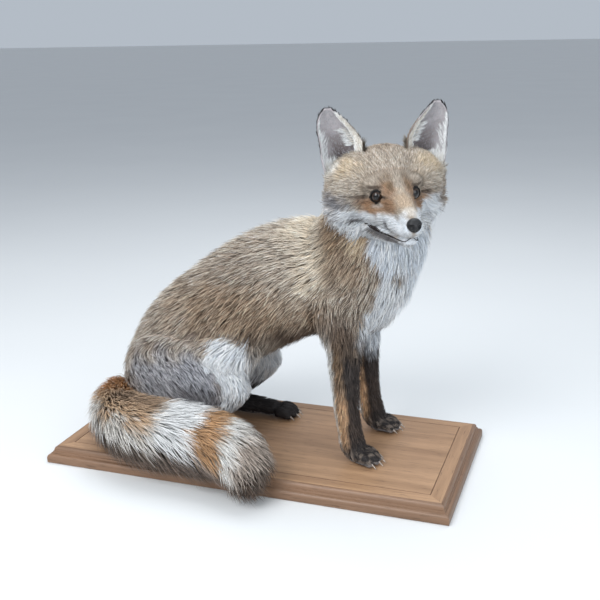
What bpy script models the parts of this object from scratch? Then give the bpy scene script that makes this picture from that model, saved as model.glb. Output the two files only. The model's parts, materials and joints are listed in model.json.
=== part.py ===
"""A life-size mounted red fox, sitting on a wooden plinth, for Blender 4.5.

Metres, +Z up. The origin is the middle of the plinth's underside and the fox looks
along +X, with its head turned to its right. Every length is the outer surface of the
coat, so the solids reach the tips of the fur. The whole body is modelled as one form
and then parted by thin plane cuts into the lengths that a person would name. The brush
of the tail, the ruff of the cheeks and the bib are flat locks of hair, rooted in a core
that reaches half way to their tips.
"""
import math
import random

import bmesh
import bpy
from mathutils import Matrix, Vector
from mathutils.bvhtree import BVHTree

# Gap kept between two nodes that meet
GAP = 0.0003

# Plinth
PLINTH_LENGTH = 0.600
PLINTH_DEPTH = 0.280
PLINTH_HEIGHT = 0.024
PLINTH_NOSE = 0.008
PLINTH_STEP = 0.0006
PLINTH_GROOVE_Z = 0.017
PLINTH_GROOVE_WIDTH = 0.0012
PLINTH_COVE = 0.007
PLINTH_EASE = 0.004
STANDING = PLINTH_HEIGHT + GAP

# Middle plane of the body, which stands a little towards the back of the plinth
MID_Y = 0.012
LEFTWARD = Vector((0, 1, 0))
UPWARD = Vector((0, 0, 1))

# Head: the point between the eyes, and how the head is turned
FACE_POINT = Vector((0.2117, -0.0744, 0.4114))
HEAD_YAW = math.radians(-59.7)
HEAD_ROLL = math.radians(2.0)

# Fineness of the fused forms, as triangles over the whole body
FINE_VOXEL = 0.0024
HEAD_FACES = 7700
PAW_FACES = 5100
COARSE_FACES = 2900

# Smoothing passes, more of them on the skull, which fades in behind SKULL_FRONT
SOFTENING = 8
SKULL_SOFTENING = 26
SKULL_FRONT = 0.012
SKULL_FADE = 0.030
SKULL_BOTTOM = -0.075

# Heights and places of the cuts between the lengths of the body
WRIST_Z = 0.050
ELBOW_CUT = Vector((0.132, 0.0, 0.174))
ELBOW_AXIS = Vector((-0.50, 0.0, 0.87))
KNEE_TOP_Z = 0.114
HOCK_Z = 0.062
FLANK_Y = 0.036
NECK_CUT = Vector((0.150, 0.000, 0.352))
NECK_AXIS = Vector((0.42, -0.30, 0.86))
CHEST_CUT = Vector((0.118, MID_Y, 0.300))
CHEST_AXIS = Vector((0.66, -0.06, 0.75))
SHOULDER_CUT_X = 0.040
LOIN_CUT_X = -0.085
TAIL_CUTS = (0.24, 0.50, 0.74)

# Eyes, in the head's own frame: forward, left, up
EYE_CENTRE = Vector((-0.0086, 0.0222, -0.0010))
EYE_RADIUS = 0.0090
EYE_OUTWARD = math.radians(32)
EYE_OPEN_WIDE = 0.0070
EYE_OPEN_HIGH = 0.0056
LID_RING = 0.0082
LID_THICK = 0.0023
LID_SEAT = 0.0048
LID_FLATNESS = 0.84

# Nose pad, in the head's own frame
NOSE_CENTRE = Vector((0.0690, 0.0, -0.0245))
NOSE_RADII = Vector((0.0085, 0.0098, 0.0090))
NOSTRIL_RADIUS = 0.0021

# Ears, in the head's own frame
EAR_BASE = Vector((-0.052, 0.0555, 0.018))
EAR_TIP = Vector((-0.052, 0.0565, 0.106))
EAR_LEAN = 0.0150
EAR_LEAN_START = 0.42
EAR_HALF_WIDTH = 0.0275
EAR_CUP = 0.0165
EAR_THICK = 0.0032
EAR_TURN = math.radians(4)

# Mouth line
LIP_GROOVE = 0.0013

# Paws: toes fan out, and the middle two reach further
TOE_LENGTH = 0.020
TOE_RADIUS = 0.0072
TOE_DEPTH = 0.0093
TOE_KNUCKLE_Z = 0.0105
TOE_SPREAD = 0.0125
TOE_FAN = 0.20
TOE_REACH = 0.006
FORE_TURN = 0.10
HIND_TURN = 0.06
CLAW_LENGTH = 0.0150
CLAW_RADIUS = 0.0019

# Locks of hair. Lengths run along the lie, a lift is how far a tip stands off its root,
# and the shares are of the tail's own half sizes
LOCK_FLATNESS = 0.34
LOCK_SEED = 11
BRUSH_ROWS = 12
BRUSH_ROUND = 7
BRUSH_HALF_WIDTH = 0.0175
BRUSH_LENGTH = 0.068
BRUSH_CORE = 0.52
BRUSH_ROOT = 0.26
BRUSH_SWAY = 0.22
BRUSH_DROOP = 0.060
BRUSH_TIP_TAPER = 0.9
RUFF_ROWS = (-0.012, -0.026, -0.041)
RUFF_RANKS = 5
RUFF_RANK_STEP = 0.013
RUFF_HALF_WIDTH = 0.0096
RUFF_LENGTH = 0.030
RUFF_LIFT = 0.0028
BIB_ROWS = (0.332, 0.308, 0.284, 0.262)
BIB_RANKS = 3
BIB_RANK_STEP = 0.024
BIB_HALF_WIDTH = 0.0125
BIB_LENGTH = 0.040
BIB_LIFT = 0.0026

# Lowest that a lock may hang over the plinth's front edge
HAIR_FLOOR_Z = 0.007

# Colours of the coat and of the hard pieces, with roughness
COLOURS = {
    "agouti": ((0.30, 0.21, 0.13), 0.85),
    "grey_agouti": ((0.26, 0.22, 0.19), 0.85),
    "white": ((0.78, 0.76, 0.72), 0.85),
    "black_fur": ((0.045, 0.037, 0.033), 0.80),
    "brush": ((0.46, 0.30, 0.17), 0.90),
    "ear": ((0.50, 0.42, 0.34), 0.80),
    "nose": ((0.012, 0.012, 0.013), 0.45),
    "eye": ((0.055, 0.022, 0.008), 0.05),
    "oak": ((0.40, 0.22, 0.11), 0.50),
}


def clear_scene():
    """Remove every object and mesh that the file starts with."""
    for item in list(bpy.data.objects):
        bpy.data.objects.remove(item, do_unlink=True)
    for mesh in list(bpy.data.meshes):
        bpy.data.meshes.remove(mesh)


def make_collection(name):
    """Return a new collection linked to the scene."""
    group = bpy.data.collections.new(name)
    bpy.context.scene.collection.children.link(group)
    return group


def make_material(name, look):
    """Return a Principled material with the colour and roughness of a look."""
    colour, roughness = COLOURS[look]
    material = bpy.data.materials.new(name)
    material.use_nodes = True
    shader = material.node_tree.nodes["Principled BSDF"]
    shader.inputs["Base Color"].default_value = (*colour, 1.0)
    shader.inputs["Roughness"].default_value = roughness
    shader.inputs["Metallic"].default_value = 0.0
    return material


def object_from(bm, name, group):
    """Write a bmesh to a new object in a collection."""
    bmesh.ops.recalc_face_normals(bm, faces=bm.faces)
    mesh = bpy.data.meshes.new(name)
    bm.to_mesh(mesh)
    bm.free()
    item = bpy.data.objects.new(name, mesh)
    group.objects.link(item)
    return item


def settle(item):
    """Replace an object's mesh by its evaluated one, and drop the modifiers."""
    graph = bpy.context.evaluated_depsgraph_get()
    graph.update()
    mesh = bpy.data.meshes.new_from_object(item.evaluated_get(graph))
    item.modifiers.clear()
    item.data = mesh
    return item


def catmull(points, at):
    """Read a smooth curve through rows of numbers at a place from 0 to the last row."""
    last = len(points) - 1
    first = min(int(at), last - 1)
    part = at - first
    row = [points[max(0, min(last, first + step))] for step in (-1, 0, 1, 2)]
    return [
        0.5 * (2 * b + (c - a) * part + (2 * a - 5 * b + 4 * c - d) * part ** 2
               + (3 * b - a - 3 * c + d) * part ** 3)
        for a, b, c, d in zip(*row)
    ]


def drawn_form(name, group, stations, side, rings=22, segments=16, cap=0.16, frame=None):
    """Draw a sphere out along stations of (x, y, z, half across, half deep).

    The half width across lies along side, and the half depth square to it. Each end
    is rounded over the last station's own size.
    """
    bm = bmesh.new()
    bmesh.ops.create_uvsphere(bm, u_segments=segments, v_segments=rings, radius=1.0)
    last = len(stations) - 1
    for vert in bm.verts:
        place = math.acos(max(-1.0, min(1.0, vert.co.z))) / math.pi
        turn = math.atan2(vert.co.y, vert.co.x)
        along = max(0.0, min(1.0, (place - cap) / (1 - 2 * cap))) * last
        x, y, z, across, deep = catmull(stations, along)
        ahead = Vector(catmull(stations, min(last, along + 0.05))[:3])
        behind = Vector(catmull(stations, max(0.0, along - 0.05))[:3])
        tangent = (ahead - behind).normalized()
        aside = (side - tangent * side.dot(tangent)).normalized()
        outward = tangent.cross(aside)
        shrink, push = 1.0, 0.0
        if place < cap:
            shrink = math.sin(place / cap * math.pi / 2)
            push = -math.cos(place / cap * math.pi / 2) * min(across, deep) * 0.8
        elif place > 1 - cap:
            shrink = math.sin((1 - place) / cap * math.pi / 2)
            push = math.cos((1 - place) / cap * math.pi / 2) * min(across, deep) * 0.8
        centre = Vector((x, y, z)) + tangent * push
        vert.co = (centre + aside * (math.cos(turn) * across * shrink)
                   + outward * (math.sin(turn) * deep * shrink))
    if frame is not None:
        bmesh.ops.transform(bm, matrix=frame, verts=bm.verts)
    return object_from(bm, name, group)


def bulb(name, group, centre, radii, frame=None, turn=None):
    """Make an egg-shaped swelling from a sphere."""
    bm = bmesh.new()
    bmesh.ops.create_uvsphere(bm, u_segments=14, v_segments=10, radius=1.0)
    matrix = Matrix.Translation(centre) @ (turn or Matrix.Identity(4)) @ Matrix.Diagonal((*radii, 1.0))
    bmesh.ops.transform(bm, matrix=(frame or Matrix.Identity(4)) @ matrix, verts=bm.verts)
    return object_from(bm, name, group)


def head_frame():
    """Return the matrix from the head's forward, left and up to the world."""
    forward = Vector((math.cos(HEAD_YAW), math.sin(HEAD_YAW), 0.0))
    left = Vector((0, 0, 1)).cross(forward)
    turn = Matrix.Rotation(HEAD_ROLL, 3, forward)
    left, up = turn @ left, turn @ Vector((0, 0, 1))
    frame = Matrix((forward, left, up)).transposed().to_4x4()
    frame.translation = FACE_POINT
    return frame


def mirrored(stations, sign):
    """Shift stations that are written about the body's middle plane to one side."""
    return [(x, MID_Y + sign * y, z, across, deep) for x, y, z, across, deep in stations]


# The trunk from the rump to the chest, then the neck
TRUNK = [
    (-0.196, MID_Y, 0.082, 0.050, 0.044),
    (-0.171, MID_Y, 0.118, 0.070, 0.063),
    (-0.125, MID_Y, 0.165, 0.076, 0.080),
    (-0.062, MID_Y, 0.212, 0.075, 0.084),
    (0.000, MID_Y, 0.250, 0.077, 0.087),
    (0.055, MID_Y, 0.273, 0.076, 0.085),
    (0.108, MID_Y, 0.276, 0.072, 0.084),
    (0.148, MID_Y, 0.274, 0.064, 0.074),
    (0.172, MID_Y, 0.276, 0.050, 0.054),
]
NECK = [
    (0.116, 0.012, 0.262, 0.068, 0.084),
    (0.142, 0.008, 0.304, 0.067, 0.082),
    (0.166, 0.000, 0.345, 0.064, 0.075),
    (0.178, -0.010, 0.378, 0.059, 0.063),
    (0.182, -0.016, 0.404, 0.052, 0.052),
]
# One foreleg from the shoulder to the wrist and paw, about the middle plane
FORELEG = [
    (0.118, 0.046, 0.262, 0.026, 0.042),
    (0.128, 0.048, 0.222, 0.026, 0.034),
    (0.132, 0.050, 0.186, 0.0215, 0.0245),
    (0.132, 0.052, 0.160, 0.0195, 0.0220),
    (0.134, 0.053, 0.130, 0.0175, 0.0195),
    (0.136, 0.054, 0.098, 0.0160, 0.0178),
    (0.141, 0.055, 0.067, 0.0158, 0.0172),
    (0.146, 0.056, 0.046, 0.0168, 0.0182),
    (0.153, 0.057, 0.036, 0.0170, 0.0125),
]
# One hind leg: thigh from hip to knee, shank from knee to hock, then the long foot
THIGH = [
    (-0.170, 0.040, 0.104, 0.046, 0.058),
    (-0.145, 0.050, 0.124, 0.042, 0.068),
    (-0.105, 0.058, 0.136, 0.036, 0.062),
    (-0.062, 0.062, 0.134, 0.030, 0.046),
    (-0.030, 0.064, 0.122, 0.024, 0.030),
]
SHANK = [
    (-0.030, 0.064, 0.120, 0.023, 0.028),
    (-0.060, 0.064, 0.092, 0.022, 0.027),
    (-0.100, 0.062, 0.060, 0.019, 0.022),
    (-0.122, 0.060, 0.045, 0.018, 0.018),
]
HIND_FOOT = [
    (-0.128, 0.059, 0.044, 0.0170, 0.0165),
    (-0.090, 0.058, 0.041, 0.0165, 0.0160),
    (-0.050, 0.058, 0.0385, 0.0165, 0.0140),
    (-0.018, 0.058, 0.0370, 0.0175, 0.0125),
]
FORE_TOES = (0.160, 0.057)
HIND_TOES = (-0.004, 0.058)
# The right hind foot stands this far behind the left one
HIND_STAGGER = -0.014

# The seat, where the rump rests on the plinth
SEAT = (Vector((-0.158, MID_Y, 0.060)), Vector((0.052, 0.062, 0.044)))

# The tail's middle line from its root, round the rump and along the plinth's front edge,
# with its half height and half width
TAIL = [
    (-0.200, 0.026, 0.070, 0.034, 0.034),
    (-0.216, 0.000, 0.071, 0.040, 0.038),
    (-0.220, -0.044, 0.072, 0.043, 0.044),
    (-0.198, -0.092, 0.074, 0.047, 0.049),
    (-0.152, -0.120, 0.075, 0.049, 0.054),
    (-0.098, -0.128, 0.075, 0.049, 0.055),
    (-0.048, -0.132, 0.074, 0.048, 0.055),
    (-0.004, -0.142, 0.069, 0.045, 0.052),
    (0.026, -0.157, 0.058, 0.038, 0.044),
    (0.044, -0.170, 0.044, 0.027, 0.031),
]
TAIL_STATION = 0.044

# The head in its own frame: forward, left, up, half across, half deep
MUZZLE = [
    (-0.034, 0, -0.001, 0.044, 0.044),
    (-0.014, 0, -0.003, 0.032, 0.034),
    (0.004, 0, -0.007, 0.0225, 0.0255),
    (0.020, 0, -0.012, 0.0170, 0.0195),
    (0.038, 0, -0.0170, 0.0148, 0.0160),
    (0.054, 0, -0.0210, 0.0130, 0.0125),
    (0.062, 0, -0.0240, 0.0108, 0.0100),
]
LIPS = [
    (-0.034, 0, -0.022, 0.048, 0.026),
    (-0.012, 0, -0.024, 0.0385, 0.0210),
    (0.008, 0, -0.0265, 0.0305, 0.0165),
    (0.027, 0, -0.0285, 0.0245, 0.0135),
    (0.044, 0, -0.0300, 0.0205, 0.0118),
    (0.057, 0, -0.0310, 0.0165, 0.0100),
    (0.063, 0, -0.0312, 0.0115, 0.0080),
]
JAW = [
    (-0.050, 0, -0.036, 0.046, 0.030),
    (-0.025, 0, -0.040, 0.038, 0.024),
    (0.000, 0, -0.044, 0.028, 0.018),
    (0.022, 0, -0.046, 0.0195, 0.0125),
    (0.040, 0, -0.0480, 0.0150, 0.0090),
    (0.052, 0, -0.0475, 0.0115, 0.0070),
]
CRANIUM = (Vector((-0.054, 0, 0.004)), Vector((0.046, 0.058, 0.054)))
NAPE = (Vector((-0.066, 0, -0.020)), Vector((0.034, 0.052, 0.046)))
RUFF = (Vector((-0.054, 0, -0.013)), Vector((0.032, 0.071, 0.053)))
TEMPLE = (Vector((-0.050, 0.036, 0.012)), Vector((0.034, 0.045, 0.040)))
BROW = (Vector((-0.016, 0.020, 0.015)), Vector((0.016, 0.017, 0.010)))


def paws():
    """Give each paw's name, the middle of its toes' roots and the way it points."""
    for word, side in (("left", 1), ("right", -1)):
        x, y = FORE_TOES
        yield f"forepaw_{word}", Vector((x, MID_Y + side * y, 0)), side * FORE_TURN
        x, y = HIND_TOES
        stagger = HIND_STAGGER if side < 0 else 0.0
        yield f"hind_foot_{word}", Vector((x + stagger, MID_Y + side * y, 0)), side * HIND_TURN


def trunk_forms(group):
    """The trunk, neck, shoulders, legs and feet, all out to the coat's surface."""
    forms = [
        drawn_form("trunk", group, TRUNK, LEFTWARD, rings=30, segments=20),
        drawn_form("neck", group, NECK, LEFTWARD, rings=20, segments=20),
        bulb("seat", group, *SEAT),
    ]
    for side in (1, -1):
        stagger = HIND_STAGGER if side < 0 else 0.0
        foot = [(x + stagger, *rest) for x, *rest in HIND_FOOT]
        forms.append(drawn_form("foreleg", group, mirrored(FORELEG, side), LEFTWARD, rings=30))
        forms.append(drawn_form("thigh", group, mirrored(THIGH, side), LEFTWARD))
        forms.append(drawn_form("shank", group, mirrored(SHANK, side), LEFTWARD))
        forms.append(drawn_form("hind_foot", group, mirrored(foot, side), LEFTWARD))
    for _, origin, turn in paws():
        forms += toes(group, origin, turn)
    return forms


def toe_places(origin, turn):
    """Give the root and the heading of a paw's four toes; the middle two reach further."""
    for index in range(4):
        spread = (index - 1.5) / 1.5
        heading = turn + spread * TOE_FAN
        reach = TOE_REACH * (1 / 3 if index in (1, 2) else -2 / 3)
        root = origin + Vector((reach, spread * TOE_SPREAD, 0.0))
        yield root, Vector((math.cos(heading), math.sin(heading), 0.0))


def toes(group, origin, turn):
    """Four rounded toes at a paw's front."""
    made = []
    for root, heading in toe_places(origin, turn):
        base = root + UPWARD * (STANDING + TOE_KNUCKLE_Z)
        knuckle = base + heading * (TOE_LENGTH / 2)
        tip = root + heading * TOE_LENGTH + UPWARD * (STANDING + TOE_RADIUS * 0.9)
        stations = [(*base, TOE_RADIUS, TOE_DEPTH), (*knuckle, TOE_RADIUS, TOE_DEPTH),
                    (*tip, TOE_RADIUS * 0.86, TOE_RADIUS * 0.86)]
        across = Vector((-heading.y, heading.x, 0))
        made.append(drawn_form("toe", group, stations, across, rings=10, segments=10, cap=0.22))
    return made


def claw(group, root, heading):
    """One curved claw, thick at its root, that comes down to just above the plinth."""
    stations = []
    for step in range(4):
        part = step / 3
        place = root + heading * (TOE_LENGTH - CLAW_RADIUS + CLAW_LENGTH * part)
        height = STANDING + TOE_RADIUS * 1.15 - TOE_RADIUS * 0.80 * part ** 1.8
        radius = CLAW_RADIUS * (1.0 - 0.70 * part)
        stations.append((place.x, place.y, height, radius, radius * 1.15))
    across = Vector((-heading.y, heading.x, 0))
    return drawn_form("claw", group, stations, across, rings=5, segments=5, cap=0.15)


def head_forms(group):
    """Skull, muzzle, jaw, brows and cheeks, in the head's own frame."""
    frame = head_frame()
    forms = [
        drawn_form("muzzle", group, MUZZLE, LEFTWARD, rings=28, segments=20, frame=frame),
        drawn_form("lips", group, LIPS, LEFTWARD, rings=28, segments=20, frame=frame),
        drawn_form("jaw", group, JAW, LEFTWARD, rings=22, segments=16, frame=frame),
        bulb("cranium", group, *CRANIUM, frame=frame),
        bulb("nape", group, *NAPE, frame=frame),
        bulb("ruff", group, *RUFF, frame=frame),
    ]
    for sign in (1, -1):
        flip = Vector((1, sign, 1))
        forms.append(bulb("temple", group, TEMPLE[0] * flip, TEMPLE[1], frame=frame))
        forms.append(bulb("brow", group, BROW[0] * flip, BROW[1], frame=frame))
    return forms


def union(name, pieces):
    """Join closed pieces by one Boolean union, and keep the largest closed surface."""
    body, others = pieces[0], pieces[1:]
    joined = make_collection(name + "_pieces")
    for item in others:
        for owner in list(item.users_collection):
            owner.objects.unlink(item)
        joined.objects.link(item)
    step = body.modifiers.new("join", "BOOLEAN")
    step.operation = "UNION"
    step.operand_type = "COLLECTION"
    step.collection = joined
    step.solver = "EXACT"
    settle(body)
    for item in others:
        bpy.data.objects.remove(item, do_unlink=True)
    bpy.data.collections.remove(joined)
    body.name = name
    keep_largest(body)
    return body


def keep_largest(item):
    """Keep only the closed surface that has the largest area."""
    bm = bmesh.new()
    bm.from_mesh(item.data)
    left = set(bm.faces)
    islands = []
    while left:
        seed = left.pop()
        island, edge = {seed}, [seed]
        while edge:
            face = edge.pop()
            for side in face.edges:
                for other in side.link_faces:
                    if other in left:
                        left.discard(other)
                        island.add(other)
                        edge.append(other)
        islands.append(island)
    islands.sort(key=lambda faces: sum(face.calc_area() for face in faces), reverse=True)
    spare = [face for island in islands[1:] for face in island]
    bmesh.ops.delete(bm, geom=spare, context="FACES")
    bm.to_mesh(item.data)
    bm.free()


def softened(item):
    """Remesh a fused form to even faces and smooth the creases between its pieces."""
    remesh = item.modifiers.new("remesh", "REMESH")
    remesh.mode = "VOXEL"
    remesh.voxel_size = FINE_VOXEL
    remesh.adaptivity = 0.0
    settle(item)
    skull = item.vertex_groups.new(name="skull")
    to_head = head_frame().inverted()
    for vert in item.data.vertices:
        forward, _, up = to_head @ vert.co
        weight = min(1.0, max(0.0, (SKULL_FRONT - forward) / SKULL_FADE)) if up > SKULL_BOTTOM else 0.0
        skull.add([vert.index], weight, "REPLACE")
    for name, iterations in (("", SOFTENING), ("skull", SKULL_SOFTENING)):
        smooth = item.modifiers.new("smooth", "SMOOTH")
        smooth.factor = 0.5
        smooth.iterations = iterations
        smooth.vertex_group = name
    settle(item)
    keep_largest(item)
    return item


def thinned(item, name, group, faces):
    """Copy a form with about so many triangles."""
    copy = bpy.data.objects.new(name, item.data.copy())
    group.objects.link(copy)
    step = copy.modifiers.new("thin", "DECIMATE")
    step.ratio = faces / (2 * len(item.data.polygons))
    step.use_collapse_triangulate = True
    return settle(copy)


def cell(source, name, group, planes):
    """Cut the length of a form that lies inside some planes, each given as point and outward."""
    bm = bmesh.new()
    bm.from_mesh(source.data)
    for point, outward in planes:
        outward = outward.normalized()
        bmesh.ops.bisect_plane(bm, geom=bm.verts[:] + bm.edges[:] + bm.faces[:], dist=GAP / 15,
                               plane_co=point - outward * GAP / 2, plane_no=outward,
                               clear_outer=True)
        rim = [edge for edge in bm.edges if edge.is_boundary]
        if rim:
            bmesh.ops.edgeloop_fill(bm, edges=rim)
    bmesh.ops.triangulate(bm, faces=[face for face in bm.faces if len(face.verts) > 4])
    item = object_from(bm, name, group)
    keep_largest(item)
    return item


def boolean(item, cutter, operation, solver="EXACT"):
    """Cut or join one object by another, which is then removed."""
    step = item.modifiers.new("cut", "BOOLEAN")
    step.operation = operation
    step.object = cutter
    step.solver = solver
    settle(item)
    bpy.data.objects.remove(cutter, do_unlink=True)
    keep_largest(item)
    return item


def clearance(item, group, amount):
    """Copy an object swollen along its normals, to cut a neighbour clear of it."""
    copy = bpy.data.objects.new(item.name + "_clear", item.data.copy())
    group.objects.link(copy)
    bm = bmesh.new()
    bm.from_mesh(copy.data)
    bm.normal_update()
    for vert in bm.verts:
        vert.co += vert.normal * amount
    bm.to_mesh(copy.data)
    bm.free()
    return copy


def eye_axis(side):
    """Return an eye's middle and the way it looks, in the head's own frame."""
    centre = EYE_CENTRE * Vector((1, side, 1))
    return centre, Vector((math.cos(EYE_OUTWARD), side * math.sin(EYE_OUTWARD), 0.0))


def eyeball(name, group, side, swell=0.0):
    """One glass eye, or the socket cut for it when it is swollen."""
    centre, _ = eye_axis(side)
    radius = EYE_RADIUS + swell
    return bulb(name, group, centre, Vector((radius,) * 3), frame=head_frame())


def lids(group, side):
    """The ring of lids round one eye, a torus set square to the way it looks."""
    centre, look = eye_axis(side)
    across = UPWARD.cross(look).normalized()
    bpy.ops.mesh.primitive_torus_add(major_segments=16, minor_segments=6,
                                     major_radius=LID_RING, minor_radius=LID_THICK)
    ring = bpy.context.active_object
    for owner in list(ring.users_collection):
        owner.objects.unlink(ring)
    group.objects.link(ring)
    turn = Matrix((across, look.cross(across), look)).transposed().to_4x4()
    turn.translation = centre + look * LID_SEAT
    ring.data.transform(head_frame() @ turn @ Matrix.Diagonal((1.0, LID_FLATNESS, 1.0, 1.0)))
    return ring


def mouth_cutter(group):
    """A thin tube along the mouth, from one corner round the front to the other."""
    half = [(-0.012, 0.0385, -0.0310), (0.004, 0.0315, -0.0345), (0.018, 0.0255, -0.0375),
            (0.032, 0.0205, -0.0395), (0.046, 0.0165, -0.0405), (0.057, 0.0120, -0.0410),
            (0.0635, 0.0055, -0.0412)]
    points = half + [(0.0655, 0.0, -0.0412)] + [(x, -y, z) for x, y, z in reversed(half)]
    stations = [(*point, LIP_GROOVE, LIP_GROOVE) for point in points]
    return drawn_form("mouth_line", group, stations, UPWARD, rings=36, segments=6,
                      cap=0.04, frame=head_frame())


def ear(name, group, side):
    """A cupped ear with a rounded point, opening forward and outward."""
    bm = bmesh.new()
    columns, rows = 8, 9
    bmesh.ops.create_grid(bm, x_segments=columns, y_segments=rows, size=1.0)
    base = EAR_BASE * Vector((1, side, 1))
    tip = EAR_TIP * Vector((1, side, 1))
    rise = tip - base
    facing = Vector((math.cos(EAR_TURN), side * math.sin(EAR_TURN), 0.0))
    across = rise.normalized().cross(facing).normalized()
    facing = across.cross(rise.normalized())
    for vert in bm.verts:
        u, v = vert.co.x, (vert.co.y + 1) / 2
        width = EAR_HALF_WIDTH * (1 - v ** 4.0) ** 0.60 * (0.78 + 0.24 * math.sin(math.pi * min(1, v)))
        width = max(width, EAR_HALF_WIDTH * 0.16)
        cup = EAR_CUP * (1 - v) ** 0.55 * (1 - u * u)
        bent = max(0.0, (v - EAR_LEAN_START) / (1 - EAR_LEAN_START))
        lean = LEFTWARD * (side * EAR_LEAN * bent * bent * (3 - 2 * bent))
        vert.co = (base + rise * v + lean + across * (u * width)
                   - facing * (cup - EAR_CUP * 0.35 * (1 - v)))
    bmesh.ops.transform(bm, matrix=head_frame(), verts=bm.verts)
    item = object_from(bm, name, group)
    shell = item.modifiers.new("thickness", "SOLIDIFY")
    shell.thickness = EAR_THICK
    shell.offset = 0.0
    shell.use_even_offset = True
    settle(item)
    return item


def socket_cutter(group, side):
    """The eye's socket and the almond-shaped way through the lids, as one cutter."""
    centre, look = eye_axis(side)
    near, far = centre + look * (EYE_RADIUS * 0.4), centre + look * (EYE_RADIUS * 2.2)
    stations = [(*near, EYE_OPEN_HIGH, EYE_OPEN_WIDE), (*far, EYE_OPEN_HIGH * 1.3, EYE_OPEN_WIDE * 1.3)]
    opening = drawn_form("opening", group, stations, UPWARD, rings=8, segments=14,
                         cap=0.2, frame=head_frame())
    return boolean(eyeball("socket", group, side, swell=GAP), opening, "UNION")


def finish_head(head, work):
    """Add lids, sockets, the mouth line and the seat of the nose to the head."""
    for side in (1, -1):
        boolean(head, lids(work, side), "UNION")
        boolean(head, socket_cutter(work, side), "DIFFERENCE")
    boolean(head, mouth_cutter(work), "DIFFERENCE")
    boolean(head, nose("nose_seat", work, swell=GAP), "DIFFERENCE")
    return head


def nose(name, group, swell=0.0):
    """The nose pad, wider above than below."""
    bm = bmesh.new()
    bmesh.ops.create_uvsphere(bm, u_segments=14, v_segments=9, radius=1.0)
    for vert in bm.verts:
        narrow = 1.0 - 0.22 * max(0.0, -vert.co.z)
        vert.co = Vector((vert.co.x * (NOSE_RADII.x + swell),
                          vert.co.y * (NOSE_RADII.y + swell) * narrow,
                          vert.co.z * (NOSE_RADII.z + swell))) + NOSE_CENTRE
    bmesh.ops.transform(bm, matrix=head_frame(), verts=bm.verts)
    return object_from(bm, name, group)


def nostril_cutter(group, side):
    """A short slanting tube that opens one nostril."""
    stations = [(0.0795, side * 0.0040, -0.0250, NOSTRIL_RADIUS, NOSTRIL_RADIUS * 0.8),
                (0.0735, side * 0.0058, -0.0245, NOSTRIL_RADIUS, NOSTRIL_RADIUS * 0.8)]
    return drawn_form("nostril", group, stations, LEFTWARD, rings=6, segments=7,
                      cap=0.2, frame=head_frame())


def quarter_round(inset, height, run, rise):
    """Give three points of a quarter curve that goes inward by run and up by rise."""
    for step in range(1, 4):
        angle = math.pi / 2 * step / 3
        yield inset + run * (1 - math.cos(angle)), height + rise * math.sin(angle)


def plinth_profile():
    """The moulding from the floor up, as inset and height: an eased edge, a fine groove, a cove."""
    profile = [(0.0, 0.0), (0.0, PLINTH_GROOVE_Z - PLINTH_EASE)]
    profile += quarter_round(0.0, PLINTH_GROOVE_Z - PLINTH_EASE, PLINTH_EASE, PLINTH_EASE)
    profile.append((PLINTH_NOSE, PLINTH_GROOVE_Z))
    profile.append((PLINTH_NOSE + PLINTH_GROOVE_WIDTH / 3, PLINTH_GROOVE_Z - PLINTH_STEP))
    profile.append((PLINTH_NOSE + PLINTH_GROOVE_WIDTH, PLINTH_GROOVE_Z + PLINTH_STEP))
    cove_rise = PLINTH_HEIGHT - PLINTH_GROOVE_Z - PLINTH_STEP
    profile += quarter_round(*profile[-1], PLINTH_COVE, cove_rise)
    return profile


def plinth(name, group):
    """The wooden base, a board drawn up along its moulding."""
    bm = bmesh.new()
    bmesh.ops.create_grid(bm, x_segments=1, y_segments=1, size=0.5)
    for vert in bm.verts:
        vert.co.x *= PLINTH_LENGTH
        vert.co.y *= PLINTH_DEPTH
    base = bm.faces[:][0]
    top = base
    profile = plinth_profile()
    for (inset, height), (next_inset, next_height) in zip(profile, profile[1:]):
        made = bmesh.ops.extrude_face_region(bm, geom=[top])["geom"]
        if top is not base:
            bmesh.ops.delete(bm, geom=[top], context="FACES")
        top = next(part for part in made if isinstance(part, bmesh.types.BMFace))
        for vert in top.verts:
            vert.co.x -= math.copysign(next_inset - inset, vert.co.x)
            vert.co.y -= math.copysign(next_inset - inset, vert.co.y)
            vert.co.z += next_height - height
    return object_from(bm, name, group)


def lock(group, points, side, half_width):
    """One flat lock of hair along a few points, widest past its root and tapered to its tip."""
    last = len(points) - 1
    stations = []
    for index, point in enumerate(points):
        part = index / last
        width = half_width * (0.62 + 1.10 * part - 1.52 * part ** 2.2)
        stations.append((*point, width, width * LOCK_FLATNESS))
    return drawn_form("lock", group, stations, side, rings=5, segments=4, cap=0.10)


def tail_place(along, angle, share):
    """Give a point of the tail at a share of its half sizes, with its way along and outward."""
    last = len(TAIL) - 1
    beyond = max(0.0, along - last)
    along = min(last, along)
    x, y, z, half_height, half_width = catmull(TAIL, along)
    ahead = Vector(catmull(TAIL, min(last, along + 0.1))[:3])
    behind = Vector(catmull(TAIL, max(0.0, along - 0.1))[:3])
    tangent = (ahead - behind).normalized()
    up = (UPWARD - tangent * tangent.z).normalized()
    aside = tangent.cross(up)
    outward = up * (math.cos(angle) * half_height) + aside * (math.sin(angle) * half_width)
    middle = Vector((x, y, z)) + tangent * (beyond * TAIL_STATION)
    taper = 1.0 - BRUSH_TIP_TAPER * beyond
    return middle + outward * (share * taper), tangent, outward.normalized()


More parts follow.
